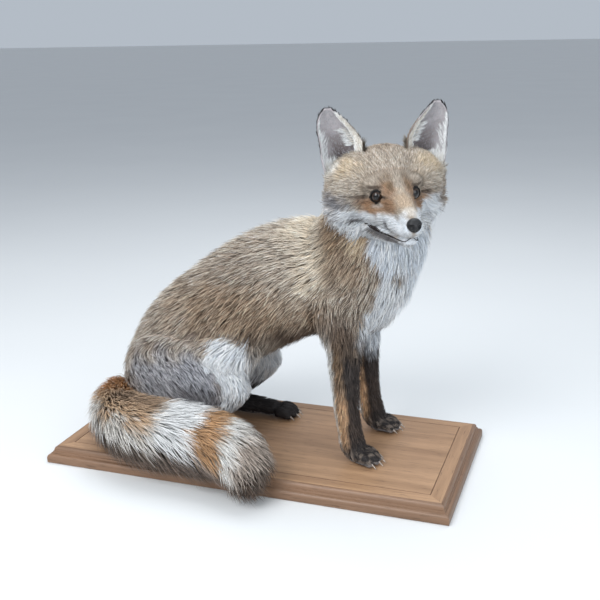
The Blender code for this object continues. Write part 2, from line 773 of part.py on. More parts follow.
def brush_lock(group, along, angle, rng):
    """One lock of the brush: it leaves the core, lies back along the tail and droops at its foot."""
    length = BRUSH_LENGTH * rng.uniform(0.85, 1.15)
    sway = rng.uniform(-BRUSH_SWAY, BRUSH_SWAY)
    reach = rng.uniform(0.94, 1.05)
    droop = max(0.0, -math.cos(angle)) * max(0.0, math.sin(angle)) * BRUSH_DROOP
    points = []
    for step in range(5):
        part = step / 4
        share = BRUSH_ROOT + (reach - BRUSH_ROOT) * (1.0 - (1.0 - part) ** 1.7)
        place, _, outward = tail_place(along + part * length / TAIL_STATION, angle + sway * part, share)
        place = place + Vector((0, 0, -droop * part ** 1.6))
        place.z = max(place.z, HAIR_FLOOR_Z)
        points.append(place)
    side = (points[-1] - points[0]).cross(outward).normalized()
    return lock(group, points, side, BRUSH_HALF_WIDTH * rng.uniform(0.85, 1.12))


def tail_forms(group):
    """The brush: a core half as thick as the coat, and rings of locks set like shingles on it."""
    core = [(x, y, z, half_height * BRUSH_CORE, half_width * BRUSH_CORE)
            for x, y, z, half_height, half_width in TAIL]
    forms = [drawn_form("tail", group, core, UPWARD, rings=26, segments=10, cap=0.06)]
    rng = random.Random(LOCK_SEED)
    last = len(TAIL) - 1
    for row in range(BRUSH_ROWS):
        along = 0.3 + (last - 1.2) * row / (BRUSH_ROWS - 1)
        for spoke in range(BRUSH_ROUND):
            angle = 2 * math.pi * (spoke + 0.5 * (row % 2)) / BRUSH_ROUND + rng.uniform(-0.14, 0.14)
            forms.append(brush_lock(group, along + rng.uniform(-0.12, 0.12), angle, rng))
    return forms


def surface_tree(item):
    """Return a search tree of an object's faces."""
    bm = bmesh.new()
    bm.from_mesh(item.data)
    tree = BVHTree.FromBMesh(bm)
    bm.free()
    return tree


def coat_lock(group, tree, start, toward, lie, half_width, length, lift):
    """One lock rooted where a ray meets a body, lying along a direction and lifting off it."""
    hit, normal, _, _ = tree.ray_cast(start, toward)
    if hit is None:
        return None
    flat = (lie - normal * lie.dot(normal)).normalized()
    sink = half_width * 0.75
    points = []
    for step in range(4):
        part = step / 3
        height = -sink + (sink + lift) * (1.0 - (1.0 - part) ** 1.8)
        points.append(hit + flat * (length * part) + normal * height)
    return lock(group, points, flat.cross(normal), half_width)


def ruff_locks(group, head):
    """The ruff of both cheeks, three rows of locks that sweep back and down past the jaw."""
    tree = surface_tree(head)
    frame = head_frame()
    turn = frame.to_3x3()
    rng = random.Random(LOCK_SEED + 1)
    made = []
    for sign in (1, -1):
        for row, forward in enumerate(RUFF_ROWS):
            for rank in range(RUFF_RANKS):
                up = -RUFF_RANK_STEP * (rank + 0.4 * (row % 2))
                start = frame @ Vector((forward + rng.uniform(-0.002, 0.002), sign * 0.15, up))
                lie = turn @ Vector((-0.70, sign * 0.12, -0.45 - 0.08 * rank))
                made.append(coat_lock(group, tree, start, turn @ Vector((0, -sign, 0)), lie,
                                      RUFF_HALF_WIDTH * rng.uniform(0.85, 1.15),
                                      RUFF_LENGTH * rng.uniform(0.85, 1.15),
                                      RUFF_LIFT * (1 + row)))
    return [item for item in made if item is not None]


def bib_locks(group, body):
    """The bib, rows of locks that hang down the front of the throat and chest."""
    tree = surface_tree(body)
    rng = random.Random(LOCK_SEED + 2)
    made = []
    for row, height in enumerate(BIB_ROWS):
        for rank in range(BIB_RANKS):
            y = (rank - 1.0 + 0.5 * (row % 2)) * BIB_RANK_STEP
            start = Vector((0.40, y, height + rng.uniform(-0.003, 0.003)))
            lie = Vector((0.12, rng.uniform(-0.15, 0.15), -1.0))
            made.append(coat_lock(group, tree, start, Vector((-1, 0, 0)), lie,
                                  BIB_HALF_WIDTH * rng.uniform(0.85, 1.15),
                                  BIB_LENGTH * rng.uniform(0.85, 1.10), BIB_LIFT))
    return [item for item in made if item is not None]


def plinth_space(group):
    """A block that is the plinth's own space and a little more, to clear what lies on it."""
    bm = bmesh.new()
    bmesh.ops.create_cube(bm, size=1.0)
    for vert in bm.verts:
        vert.co.x *= PLINTH_LENGTH + 2 * GAP
        vert.co.y *= PLINTH_DEPTH + 2 * GAP
        vert.co.z = STANDING if vert.co.z > 0 else -PLINTH_HEIGHT
    return object_from(bm, "plinth_space", group)


def dress(item, look):
    """Give an object its own material."""
    item.data.materials.clear()
    item.data.materials.append(make_material(item.name + "_finish", look))
    item.data.shade_smooth()
    item.data.set_sharp_from_angle(angle=math.radians(50))


def body_cells():
    """Give each length of the body: its name, its colour and its planes.

    A plane is a point on it and the way out of the length.
    """
    up, down, front, back = UPWARD, -UPWARD, Vector((1, 0, 0)), Vector((-1, 0, 0))
    shoulder = Vector((SHOULDER_CUT_X, 0, 0))
    loin = Vector((LOIN_CUT_X, 0, 0))
    knee_top, hock, wrist = UPWARD * KNEE_TOP_Z, UPWARD * HOCK_Z, UPWARD * WRIST_Z
    flanks = [(LEFTWARD * (MID_Y + side * FLANK_Y), LEFTWARD * side) for side in (1, -1)]
    yield "neck", "agouti", [(NECK_CUT, NECK_AXIS), (CHEST_CUT, -CHEST_AXIS)]
    yield "chest", "agouti", [(NECK_CUT, NECK_AXIS), (CHEST_CUT, CHEST_AXIS), (shoulder, back),
                              (ELBOW_CUT, -ELBOW_AXIS)]
    yield "trunk", "agouti", [(shoulder, front), (loin, back), (knee_top, down)]
    yield "rump", "agouti", [(loin, front), *flanks]
    for word, side in (("left", 1), ("right", -1)):
        middle = (LEFTWARD * MID_Y, LEFTWARD * -side)
        flank = (LEFTWARD * (MID_Y + side * FLANK_Y), LEFTWARD * -side)
        yield f"foreleg_{word}", "black_fur", [(shoulder, back), middle, (ELBOW_CUT, ELBOW_AXIS),
                                               (wrist, down)]
        yield f"forepaw_{word}", "black_fur", [(shoulder, back), middle, (wrist, up)]
        yield f"thigh_{word}", "grey_agouti", [(loin, front), flank, (hock, down)]
        yield f"knee_{word}", "white", [(loin, back), (shoulder, front), middle, (knee_top, up),
                                        (hock, down)]
        yield f"hind_foot_{word}", "black_fur", [(shoulder, front), flank, (hock, up)]


def make_body(group, work, paw_level, coarse):
    """Part the body into its lengths, and give the paws their claws."""
    claws = {name: [claw(work, *place) for place in toe_places(origin, turn)]
             for name, origin, turn in paws()}
    for name, look, planes in body_cells():
        item = cell(paw_level if name in claws else coarse, name, group, planes)
        if name in claws:
            union(name, [item, *claws[name]])
        dress(item, look)


def make_head(group, work, head_level):
    """The head with its ruff, ears, eyes and nose."""
    neck_cut = [(NECK_CUT, -NECK_AXIS)]
    skull = cell(head_level, "skull", work, neck_cut)
    for word, side in (("left", 1), ("right", -1)):
        outer = boolean(ear(f"ear_{word}", group, side), clearance(skull, work, GAP), "DIFFERENCE")
        dress(outer, "ear")
        dress(eyeball(f"eye_{word}", group, side), "eye")
    union("skull", [skull, *ruff_locks(work, skull)])
    head = cell(skull, "head", group, neck_cut)
    dress(finish_head(head, work), "grey_agouti")
    pad = nose("nose", group)
    for side in (1, -1):
        boolean(pad, nostril_cutter(work, side), "DIFFERENCE")
    dress(pad, "nose")


def make_tail(group, work, coarse):
    """The brush, cut clear of the body and the plinth and parted into four lengths."""
    tail = union("tail", tail_forms(work))
    boolean(tail, plinth_space(work), "DIFFERENCE")
    boolean(tail, clearance(coarse, work, 2 * GAP), "DIFFERENCE", solver="MANIFOLD")
    last = len(TAIL) - 1
    cuts = [tail_place(part * last, 0.0, 0.0)[:2] for part in TAIL_CUTS]
    for index, name in enumerate(("tail_root", "tail_base", "tail_middle", "tail_tip")):
        planes = [(place, -tangent) for place, tangent in cuts[max(0, index - 1):index]]
        planes += cuts[index:index + 1]
        dress(cell(tail, name, group, planes), "brush")


def build():
    """Build every node of the mounted fox."""
    clear_scene()
    group = make_collection("mounted_fox")
    work = make_collection("working_forms")

    body = union("body", trunk_forms(work) + head_forms(work))
    softened(body)
    boolean(body, plinth_space(work), "DIFFERENCE")
    paw_level = thinned(body, "paw_level", work, PAW_FACES)
    head_level = thinned(body, "head_level", work, HEAD_FACES)
    coarse = thinned(body, "coarse", work, COARSE_FACES)
    make_tail(group, work, coarse)
    make_head(group, work, head_level)
    union("coarse", [coarse, *bib_locks(work, coarse)])
    make_body(group, work, paw_level, coarse)
    dress(plinth("stand_plinth", group), "oak")

    for item in list(work.objects):
        bpy.data.objects.remove(item, do_unlink=True)
    bpy.data.collections.remove(work)


build()
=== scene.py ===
"""Looks of a life-size mounted red fox that sits on an oak plinth, for Blender 4.5.

Metres, +Z up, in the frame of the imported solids: the origin is the middle of the plinth's
underside, and the fox faces +X with its head turned to its right. One skin is fused from the
same stations as the solids, less the depth of the coat, and the coat is laid over it as thin,
closed, tapered tufts that follow the lie of the fur. The eyes, nose, lips, claws, whiskers and
plinth are pieces of their own.
"""

import json
import logging
import math
from collections.abc import Callable, Iterable
from dataclasses import dataclass, field
from enum import Enum

import bmesh
import bpy
import numpy as np
from mathutils import Matrix, Vector
from mathutils.bvhtree import BVHTree
from mathutils.kdtree import KDTree
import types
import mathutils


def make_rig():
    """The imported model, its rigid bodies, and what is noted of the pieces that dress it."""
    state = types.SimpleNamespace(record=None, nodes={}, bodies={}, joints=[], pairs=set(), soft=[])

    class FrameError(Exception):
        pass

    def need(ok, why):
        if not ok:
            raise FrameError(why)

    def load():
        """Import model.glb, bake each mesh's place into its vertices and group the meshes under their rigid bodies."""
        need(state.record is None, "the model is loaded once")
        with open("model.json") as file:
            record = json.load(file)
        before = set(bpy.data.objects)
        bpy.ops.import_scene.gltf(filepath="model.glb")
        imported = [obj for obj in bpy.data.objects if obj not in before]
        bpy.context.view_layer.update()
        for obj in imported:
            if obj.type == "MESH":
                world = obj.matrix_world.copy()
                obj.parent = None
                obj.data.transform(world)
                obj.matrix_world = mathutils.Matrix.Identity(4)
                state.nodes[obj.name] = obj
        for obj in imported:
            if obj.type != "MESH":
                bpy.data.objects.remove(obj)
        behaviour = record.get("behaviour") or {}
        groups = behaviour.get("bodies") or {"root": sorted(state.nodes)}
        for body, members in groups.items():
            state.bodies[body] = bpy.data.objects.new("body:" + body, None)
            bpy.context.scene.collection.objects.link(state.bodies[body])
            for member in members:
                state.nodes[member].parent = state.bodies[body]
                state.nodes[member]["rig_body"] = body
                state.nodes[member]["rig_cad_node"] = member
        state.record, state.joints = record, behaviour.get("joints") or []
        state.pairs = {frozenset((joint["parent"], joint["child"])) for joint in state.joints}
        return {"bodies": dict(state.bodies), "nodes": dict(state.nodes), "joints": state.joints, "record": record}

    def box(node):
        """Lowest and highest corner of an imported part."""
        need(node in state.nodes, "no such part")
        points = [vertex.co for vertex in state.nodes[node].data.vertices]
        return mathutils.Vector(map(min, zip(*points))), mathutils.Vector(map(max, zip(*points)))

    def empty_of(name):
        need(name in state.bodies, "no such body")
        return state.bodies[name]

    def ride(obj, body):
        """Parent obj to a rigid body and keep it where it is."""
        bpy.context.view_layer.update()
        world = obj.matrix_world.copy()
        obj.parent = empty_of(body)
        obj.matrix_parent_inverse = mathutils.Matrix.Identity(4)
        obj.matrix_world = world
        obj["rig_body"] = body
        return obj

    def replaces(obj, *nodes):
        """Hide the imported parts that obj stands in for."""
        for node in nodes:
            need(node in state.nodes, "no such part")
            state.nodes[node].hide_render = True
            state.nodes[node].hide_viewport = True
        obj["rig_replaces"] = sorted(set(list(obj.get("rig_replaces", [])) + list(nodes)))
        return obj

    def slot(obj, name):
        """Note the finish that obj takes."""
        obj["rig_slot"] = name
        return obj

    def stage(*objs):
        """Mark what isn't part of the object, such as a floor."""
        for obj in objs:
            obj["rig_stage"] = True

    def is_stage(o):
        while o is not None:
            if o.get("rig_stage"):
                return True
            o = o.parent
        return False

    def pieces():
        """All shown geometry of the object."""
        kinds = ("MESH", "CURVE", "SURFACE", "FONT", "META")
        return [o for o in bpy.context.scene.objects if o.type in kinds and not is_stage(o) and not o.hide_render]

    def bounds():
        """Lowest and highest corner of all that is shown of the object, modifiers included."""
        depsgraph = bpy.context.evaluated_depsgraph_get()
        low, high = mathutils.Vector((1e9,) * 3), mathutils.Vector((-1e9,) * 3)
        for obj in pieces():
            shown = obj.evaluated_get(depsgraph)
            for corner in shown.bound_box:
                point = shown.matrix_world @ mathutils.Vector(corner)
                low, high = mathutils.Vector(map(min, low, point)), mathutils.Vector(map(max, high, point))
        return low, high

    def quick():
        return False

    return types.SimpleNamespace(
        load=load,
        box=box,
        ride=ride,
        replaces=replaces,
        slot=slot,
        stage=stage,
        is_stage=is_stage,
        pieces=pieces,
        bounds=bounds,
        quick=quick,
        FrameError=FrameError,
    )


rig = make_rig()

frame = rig.load()
CAD_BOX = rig.bounds()
log = logging.getLogger("fox")

BODY = "root"
LEFT = Vector((0.0, 1.0, 0.0))
UP = Vector((0.0, 0.0, 1.0))
SIDES = (("left", 1), ("right", -1))
Row = tuple[float, ...]
Pair = tuple[float, float]
Point = tuple[float, float, float]
Item = bpy.types.Object

# Middle plane of the body, and the height that paws and rump stand at
MID_Y = 0.012
STANDING = 0.0243
# Lowest that hair may hang in front of the plinth, and what it keeps clear of the wood
HAIR_FLOOR = 0.007
HAIR_CLEAR = 0.0004

# Head: the point between the eyes, and how the head is turned
FACE_POINT = Vector((0.2117, -0.0744, 0.4114))
HEAD_YAW = math.radians(-59.7)
HEAD_ROLL = math.radians(2.0)

# Name of the colour attribute that skin and coat share, and of the bake's map
COLOUR = "coat_colour"
BAKE_MAP = "OFBake"
# Width and height of a tuft's patch on the bake's map
BAKE_PATCH = 0.003


def head_matrix() -> Matrix:
    """Work out how the head stands.

    Returns:
        The matrix from the head's forward, left and up to the world.
    """
    forward = Vector((math.cos(HEAD_YAW), math.sin(HEAD_YAW), 0.0))
    turn = Matrix.Rotation(HEAD_ROLL, 3, forward)
    left, up = turn @ UP.cross(forward), turn @ UP
    matrix = Matrix((forward, left, up)).transposed().to_4x4()
    matrix.translation = FACE_POINT
    return matrix


HEAD = head_matrix()
HEAD_TURN = np.array(HEAD.to_3x3())
HEAD_PLACE = np.array(FACE_POINT)


def to_head(points: np.ndarray) -> np.ndarray:
    """Turn rows of world points into the head's forward, left and up."""
    return (points - HEAD_PLACE) @ HEAD_TURN


def from_head(points: np.ndarray) -> np.ndarray:
    """Turn rows of forward, left and up into world points."""
    return points @ HEAD_TURN.T + HEAD_PLACE


def sizes_of(rows: np.ndarray) -> np.ndarray:
    """Return the length of each row."""
    return np.linalg.norm(rows, axis=1)


def unit(rows: np.ndarray) -> np.ndarray:
    """Scale each row to length one."""
    return rows / np.maximum(sizes_of(rows), 1e-9)[:, None]


def ease(low: float, high: float, value: np.ndarray) -> np.ndarray:
    """Rise smoothly from 0 at low to 1 at high."""
    part = np.clip((value - low) / (high - low), 0.0, 1.0)
    return part * part * (3.0 - 2.0 * part)


def fall(low: float, high: float, value: np.ndarray) -> np.ndarray:
    """Fall smoothly from 1 at low to 0 at high."""
    return 1 - ease(low, high, value)


def mixed(pair: Pair, share: np.ndarray) -> np.ndarray:
    """Blend a pair of numbers by a share from 0 to 1."""
    return pair[0] + (pair[1] - pair[0]) * share


def laid(base: np.ndarray, top: np.ndarray, mask: np.ndarray) -> None:
    """Lay rows of colours over others in place, by a mask from 0 to 1."""
    base += (top - base) * mask[:, None]


def read_line(rows: np.ndarray, at: np.ndarray) -> np.ndarray:
    """Read a smooth curve through rows of numbers.

    Args:
        rows: the numbers at each station, one row a station.
        at: the places to read, from 0 to the last station.

    Returns:
        One row of numbers for each place.
    """
    last = len(rows) - 1
    at = np.clip(at, 0.0, last)
    first = np.minimum(at.astype(int), last - 1)
    part = (at - first)[:, None]
    a, b, c, d = (rows[np.clip(first + step, 0, last)] for step in (-1, 0, 1, 2))
    return 0.5 * (2 * b + (c - a) * part + (2 * a - 5 * b + 4 * c - d) * part ** 2
                  + (3 * b - a - 3 * c + d) * part ** 3)


def heading_at(rows: np.ndarray, at: np.ndarray, step: float = 0.05) -> np.ndarray:
    """Return the unit headings of a smooth curve through rows that start with a place."""
    return unit(read_line(rows, at + step)[:, :3] - read_line(rows, at - step)[:, :3])


def read_rows(items: bpy.types.bpy_prop_collection, key: str, kind: type = float) -> np.ndarray:
    """Read three numbers from each item of a mesh.

    Args:
        items: the mesh's vertices or triangles.
        key: what is read from them.
        kind: the type of the numbers.

    Returns:
        One row for each item.
    """
    values = np.empty(len(items) * 3, kind)
    items.foreach_get(key, values)
    return values.reshape(-1, 3)


def write_colours(mesh: bpy.types.Mesh, colours: np.ndarray) -> None:
    """Write the colour attribute that skin and coat share.

    Args:
        mesh: the mesh.
        colours: one row of red, green and blue for each of its points.
    """
    layer = mesh.color_attributes.new(COLOUR, "FLOAT_COLOR", "POINT")
    rows = np.hstack((colours, np.ones((len(colours), 1))))
    layer.data.foreach_set("color", rows.astype(np.float32).ravel())


class Ripple:
    """A smooth seeded noise over space, mostly from -1 to 1."""

    def __init__(self, seed: int, size: float, waves: int = 9) -> None:
        """Draw the waves.

        Args:
            seed: seed of the draws.
            size: length that those of the waves are near.
            waves: number of waves.
        """
        rng = np.random.default_rng(seed)
        ways = unit(rng.normal(size=(waves, 3)))
        self.ways = ways * (2 * math.pi / (size * rng.uniform(0.7, 1.5, (waves, 1))))
        self.phases = rng.uniform(0, 2 * math.pi, waves)

    def __call__(self, points: np.ndarray) -> np.ndarray:
        """Return the noise at rows of points."""
        return np.sin(points @ self.ways.T + self.phases).sum(axis=1) / math.sqrt(len(self.phases))


def linked(name: str, data: bpy.types.ID) -> Item:
    """Put a new object in the scene.

    Args:
        name: name of the object.
        data: its mesh, light or camera.

    Returns:
        The object.
    """
    item = bpy.data.objects.new(name, data)
    bpy.context.scene.collection.objects.link(item)
    return item


def made_object(bm: bmesh.types.BMesh, name: str, smooth: bool = True) -> Item:
    """Write a bmesh to a new object in the scene.

    Args:
        bm: the bmesh, which is freed.
        name: name of the object and its mesh.
        smooth: whether its faces are shaded smooth.

    Returns:
        The object.
    """
    mesh = bpy.data.meshes.new(name)
    for face in bm.faces:
        face.smooth = smooth
    bm.to_mesh(mesh)
    bm.free()
    return linked(name, mesh)


def move_points(bm: bmesh.types.BMesh, points: np.ndarray) -> None:
    """Move the points of a bmesh to rows of places."""
    for vert, point in zip(bm.verts, points):
        vert.co = point


def settle(item: Item) -> Item:
    """Replace an object's mesh by its evaluated one, and drop the modifiers.

    Args:
        item: the object.

    Returns:
        The same object.
    """
    graph = bpy.context.evaluated_depsgraph_get()
    graph.update()
    mesh = bpy.data.meshes.new_from_object(item.evaluated_get(graph))
    item.modifiers.clear()
    item.data = mesh
    return item


def modified(item: Item, kind: str, **settings: object) -> Item:
    """Run one modifier on an object.

    Args:
        item: the object.
        kind: the modifier's type.
        settings: its properties.

    Returns:
        The same object with the modifier's result as its mesh.
    """
    step = item.modifiers.new(kind.lower(), kind)
    for key, value in settings.items():
        setattr(step, key, value)
    return settle(item)


def joined(name: str, items: Iterable[Item]) -> Item:
    """Gather the meshes of several objects in one, and remove the objects.

    Args:
        name: name of the new object.
        items: the objects.

    Returns:
        The new object.
    """
    bm = bmesh.new()
    for item in items:
        bm.from_mesh(item.data)
        bpy.data.objects.remove(item, do_unlink=True)
    return made_object(bm, name)


def boolean(item: Item, other: Item, operation: str) -> Item:
    """Join another closed object to this one or cut it away, and remove the other.

    Args:
        item: the object that is changed.
        other: the object that it is joined to or cut by.
        operation: UNION or DIFFERENCE.

    Returns:
        The changed object.
    """
    modified(item, "BOOLEAN", operation=operation, object=other, solver="MANIFOLD")
    bpy.data.objects.remove(other, do_unlink=True)
    return item


def fused(name: str, items: Iterable[Item], voxel: float, passes: int) -> Item:
    """Remesh overlapping closed forms to one even surface, and smooth its creases.

    Args:
        name: name of the new object.
        items: the forms.
        voxel: the size of the new surface's faces.
        passes: number of smoothing passes.

    Returns:
        The new object.
    """
    item = modified(joined(name, items), "REMESH", mode="VOXEL", voxel_size=voxel, adaptivity=0.0)
    return modified(item, "SMOOTH", factor=0.5, iterations=passes)


@dataclass(frozen=True)
class Form:
    """A rounded length drawn along stations of (x, y, z, half across, half deep).

    The half width across lies along side. inset, at the first and the last station, is the
    depth of coat that the form is made smaller by, and at least the share least of a half
    width is left. cap is the share of the length that each rounded end takes, and bulge how
    round it is.
    """

    name: str
    stations: tuple[Row, ...]
    inset: Pair = (0.0, 0.0)
    side: Vector = LEFT
    rings: int = 48
    segments: int = 28
    cap: float = 0.16
    on_head: bool = False
    least: float = 0.15
    bulge: float = 0.8

    def place(self, ball: np.ndarray) -> np.ndarray:
        """Move the points of a unit sphere to the form's surface.

        Args:
            ball: rows of points on the sphere.

        Returns:
            Rows of points in the world.
        """
        rows, last = np.array(self.stations, float), len(self.stations) - 1
        place = np.arccos(np.clip(ball[:, 2], -1.0, 1.0)) / math.pi
        turn = np.arctan2(ball[:, 1], ball[:, 0])
        along = np.clip((place - self.cap) / (1 - 2 * self.cap), 0.0, 1.0) * last
        here, tangent = read_line(rows, along), heading_at(rows, along)
        side = np.array(self.side)
        aside = unit(side - tangent * (tangent @ side)[:, None])
        less = mixed(self.inset, along / last)
        across, deep = (np.maximum(half - less, half * self.least) for half in here[:, 3:].T)
        near = np.clip(np.minimum(place, 1 - place) / self.cap, 0.0, 1.0) * math.pi / 2
        push = np.cos(near) * np.minimum(across, deep) * self.bulge
        made = (here[:, :3] + tangent * (push * np.where(place < 0.5, -1.0, 1.0))[:, None]
                + aside * (np.cos(turn) * across * np.sin(near))[:, None]
                + np.cross(tangent, aside) * (np.sin(turn) * deep * np.sin(near))[:, None])
        return from_head(made) if self.on_head else made

    def build(self) -> Item:
        """Shape the form from a sphere.

        Returns:
            The form as an object.
        """
        bm = bmesh.new()
        bmesh.ops.create_uvsphere(bm, u_segments=self.segments, v_segments=self.rings, radius=1.0)
        move_points(bm, self.place(np.array([vert.co for vert in bm.verts])))
        bmesh.ops.recalc_face_normals(bm, faces=bm.faces)
        return made_object(bm, self.name)

    def line(self, count: int = 32, thin: float = 0.002) -> tuple[np.ndarray, ...]:
        """Read the form's middle line.

        Args:
            count: number of places along it.
            thin: least radius that is given.

        Returns:
            Places, headings and mean radii along the line, in the world.
        """
        rows, last = np.array(self.stations, float), len(self.stations) - 1
        at = np.linspace(0, last, count)
        here, heading = read_line(rows, at), heading_at(rows, at)
        radius = np.maximum((here[:, 3] + here[:, 4]) / 2 - mixed(self.inset, at / last), thin)
        if self.on_head:
            return from_head(here[:, :3]), heading @ HEAD_TURN.T, radius
        return here[:, :3], heading, radius


@dataclass(frozen=True)
class Swelling:
    """An egg-shaped swelling, in the world or in the head's own frame."""

    name: str
    centre: Point
    radii: Point
    on_head: bool = False

    def build(self) -> Item:
        """Shape the swelling from a sphere.

        Returns:
            The swelling as an object.
        """
        bm = bmesh.new()
        bmesh.ops.create_uvsphere(bm, u_segments=40, v_segments=28, radius=1.0)
        matrix = Matrix.Translation(self.centre) @ Matrix.Diagonal((*self.radii, 1.0))
        bmesh.ops.transform(bm, matrix=(HEAD @ matrix) if self.on_head else matrix, verts=bm.verts)
        return made_object(bm, self.name)


class Kind(Enum):
    """How a tuft is made: its rings of three corners between root and tip."""

    SPIKE = 1
    BLADE = 2
    LOCK = 3

    def triangles(self) -> int:
        """Return the number of triangles in one tuft."""
        return 6 * self.value - 2

    def corners(self) -> int:
        """Return the number of corners of one tuft."""
        return 3 * self.value + 1


@dataclass(frozen=True)
class Lie:
    """How the coat lies on a length of the body, at its first and last station.

    way is 1 where the hair runs with the stations and -1 where it runs against them. droop
    turns it down on the sides. Lengths, depths and widths are in metres, and density is in
    tufts to the square centimetre of skin.
    """

    way: float
    length: Pair
    depth: Pair
    width: Pair
    density: Pair
    droop: float = 0.0


@dataclass(frozen=True)
class Length:
    """One length of the body: its form, the lie of its coat, and its coat's piece."""

    form: Form
    lie: Lie
    coat: str
    kind: Kind = Kind.BLADE


def sided(stations: Iterable[Row], sign: int, shift: float = 0.0) -> tuple[Row, ...]:
    """Move stations written about the body's middle plane to one side, and along X."""
    return tuple((x + shift, MID_Y + sign * y, z, a, b) for x, y, z, a, b in stations)


# Stations of the body, each to the coat's surface
TRUNK = (
    (-0.196, MID_Y, 0.082, 0.050, 0.044), (-0.171, MID_Y, 0.118, 0.070, 0.063),
    (-0.125, MID_Y, 0.165, 0.076, 0.080), (-0.062, MID_Y, 0.212, 0.075, 0.084),
    (0.000, MID_Y, 0.250, 0.077, 0.087), (0.055, MID_Y, 0.273, 0.076, 0.085),
    (0.108, MID_Y, 0.276, 0.072, 0.084), (0.148, MID_Y, 0.274, 0.064, 0.074),
    (0.172, MID_Y, 0.276, 0.050, 0.054),
)
NECK = (
    (0.116, 0.012, 0.262, 0.068, 0.084), (0.142, 0.008, 0.304, 0.067, 0.082),
    (0.166, 0.000, 0.345, 0.064, 0.075), (0.178, -0.010, 0.378, 0.059, 0.063),
    (0.182, -0.016, 0.404, 0.052, 0.052),
)
FORELEG = (
    (0.118, 0.046, 0.262, 0.026, 0.042), (0.128, 0.048, 0.222, 0.026, 0.034),
    (0.132, 0.050, 0.186, 0.0215, 0.0245), (0.132, 0.052, 0.160, 0.0195, 0.0220),
    (0.134, 0.053, 0.130, 0.0175, 0.0195), (0.136, 0.054, 0.098, 0.0160, 0.0178),
    (0.141, 0.055, 0.067, 0.0158, 0.0172), (0.146, 0.056, 0.046, 0.0168, 0.0182),
    (0.153, 0.057, 0.036, 0.0170, 0.0125),
)
THIGH = (
    (-0.170, 0.040, 0.104, 0.046, 0.058), (-0.145, 0.050, 0.124, 0.042, 0.068),
    (-0.105, 0.058, 0.136, 0.036, 0.062), (-0.062, 0.062, 0.134, 0.030, 0.046),
    (-0.030, 0.064, 0.122, 0.024, 0.030),
)
SHANK = (
    (-0.030, 0.064, 0.120, 0.023, 0.028), (-0.060, 0.064, 0.092, 0.022, 0.027),
    (-0.100, 0.062, 0.060, 0.019, 0.022), (-0.122, 0.060, 0.045, 0.018, 0.018),
)
HIND_FOOT = (
    (-0.128, 0.059, 0.044, 0.0170, 0.0165), (-0.090, 0.058, 0.041, 0.0165, 0.0160),
    (-0.050, 0.058, 0.0385, 0.0165, 0.0140), (-0.018, 0.058, 0.0370, 0.0175, 0.0125),
)
TAIL = (
    (-0.200, 0.026, 0.070, 0.034, 0.034), (-0.216, 0.000, 0.071, 0.040, 0.038),
    (-0.220, -0.044, 0.072, 0.043, 0.044), (-0.198, -0.092, 0.074, 0.047, 0.049),
    (-0.152, -0.120, 0.075, 0.049, 0.054), (-0.098, -0.128, 0.075, 0.049, 0.055),
    (-0.048, -0.132, 0.074, 0.048, 0.055), (-0.004, -0.142, 0.069, 0.045, 0.052),
    (0.026, -0.157, 0.058, 0.038, 0.044), (0.044, -0.170, 0.044, 0.027, 0.031),
)
# Share of the tail's half sizes that its skin reaches
TAIL_CORE = 0.46

# The head in its own frame: forward, left, up, half across, half deep
MUZZLE = (
    (-0.034, 0, -0.001, 0.044, 0.044), (-0.014, 0, -0.003, 0.032, 0.034),
    (0.004, 0, -0.007, 0.0225, 0.0255), (0.020, 0, -0.012, 0.0170, 0.0195),
    (0.038, 0, -0.0170, 0.0148, 0.0160), (0.054, 0, -0.0210, 0.0130, 0.0125),
    (0.062, 0, -0.0240, 0.0108, 0.0100),
)
LIPS = (
    (-0.034, 0, -0.022, 0.048, 0.026), (-0.012, 0, -0.024, 0.0385, 0.0210),
    (0.008, 0, -0.0265, 0.0305, 0.0170), (0.027, 0, -0.0300, 0.0245, 0.0155),
    (0.044, 0, -0.0318, 0.0205, 0.0140), (0.057, 0, -0.0322, 0.0165, 0.0118),
    (0.063, 0, -0.0322, 0.0115, 0.0095),
)
JAW = (
    (-0.050, 0, -0.036, 0.046, 0.030), (-0.025, 0, -0.040, 0.038, 0.024),
    (0.000, 0, -0.044, 0.028, 0.018), (0.022, 0, -0.046, 0.0195, 0.0125),
    (0.040, 0, -0.0480, 0.0150, 0.0090), (0.052, 0, -0.0475, 0.0115, 0.0070),
)
SKULL = (
    (-0.074, 0, -0.018, 0.034, 0.034), (-0.052, 0, -0.004, 0.056, 0.050),
    (-0.034, 0, -0.004, 0.050, 0.046),
)
MOUTH_HALF = (
    (-0.036, 0.0480, -0.0325), (-0.027, 0.0425, -0.0365), (-0.015, 0.0365, -0.0410),
    (0.000, 0.0305, -0.0430), (0.014, 0.0250, -0.0445), (0.030, 0.0195, -0.0458),
    (0.046, 0.0150, -0.0458), (0.0560, 0.0085, -0.0455),
)
MOUTH_FRONT = (0.0595, 0.0, -0.0448)
# Place along the mouth, from each corner, where the lips are thickest
MOUTH_THICK_AT = 2.5
# Half depth of a foreleg, as its markings are measured
FORELEG_HALF = 0.017

# Toes: where each paw's toes are rooted, and how they fan out
TOES = 4
TOE_LENGTH = 0.020
TOE_RADIUS = 0.0072
TOE_DEPTH = 0.0093
TOE_KNUCKLE = 0.0105
TOE_SPREAD = 0.0125
TOE_FAN = 0.20
TOE_REACH = 0.006
FORE_TOES = (0.160, 0.057, 0.10)
HIND_TOES = (-0.004, 0.058, 0.06)
HIND_STAGGER = -0.014
TOE_COAT = 0.0012


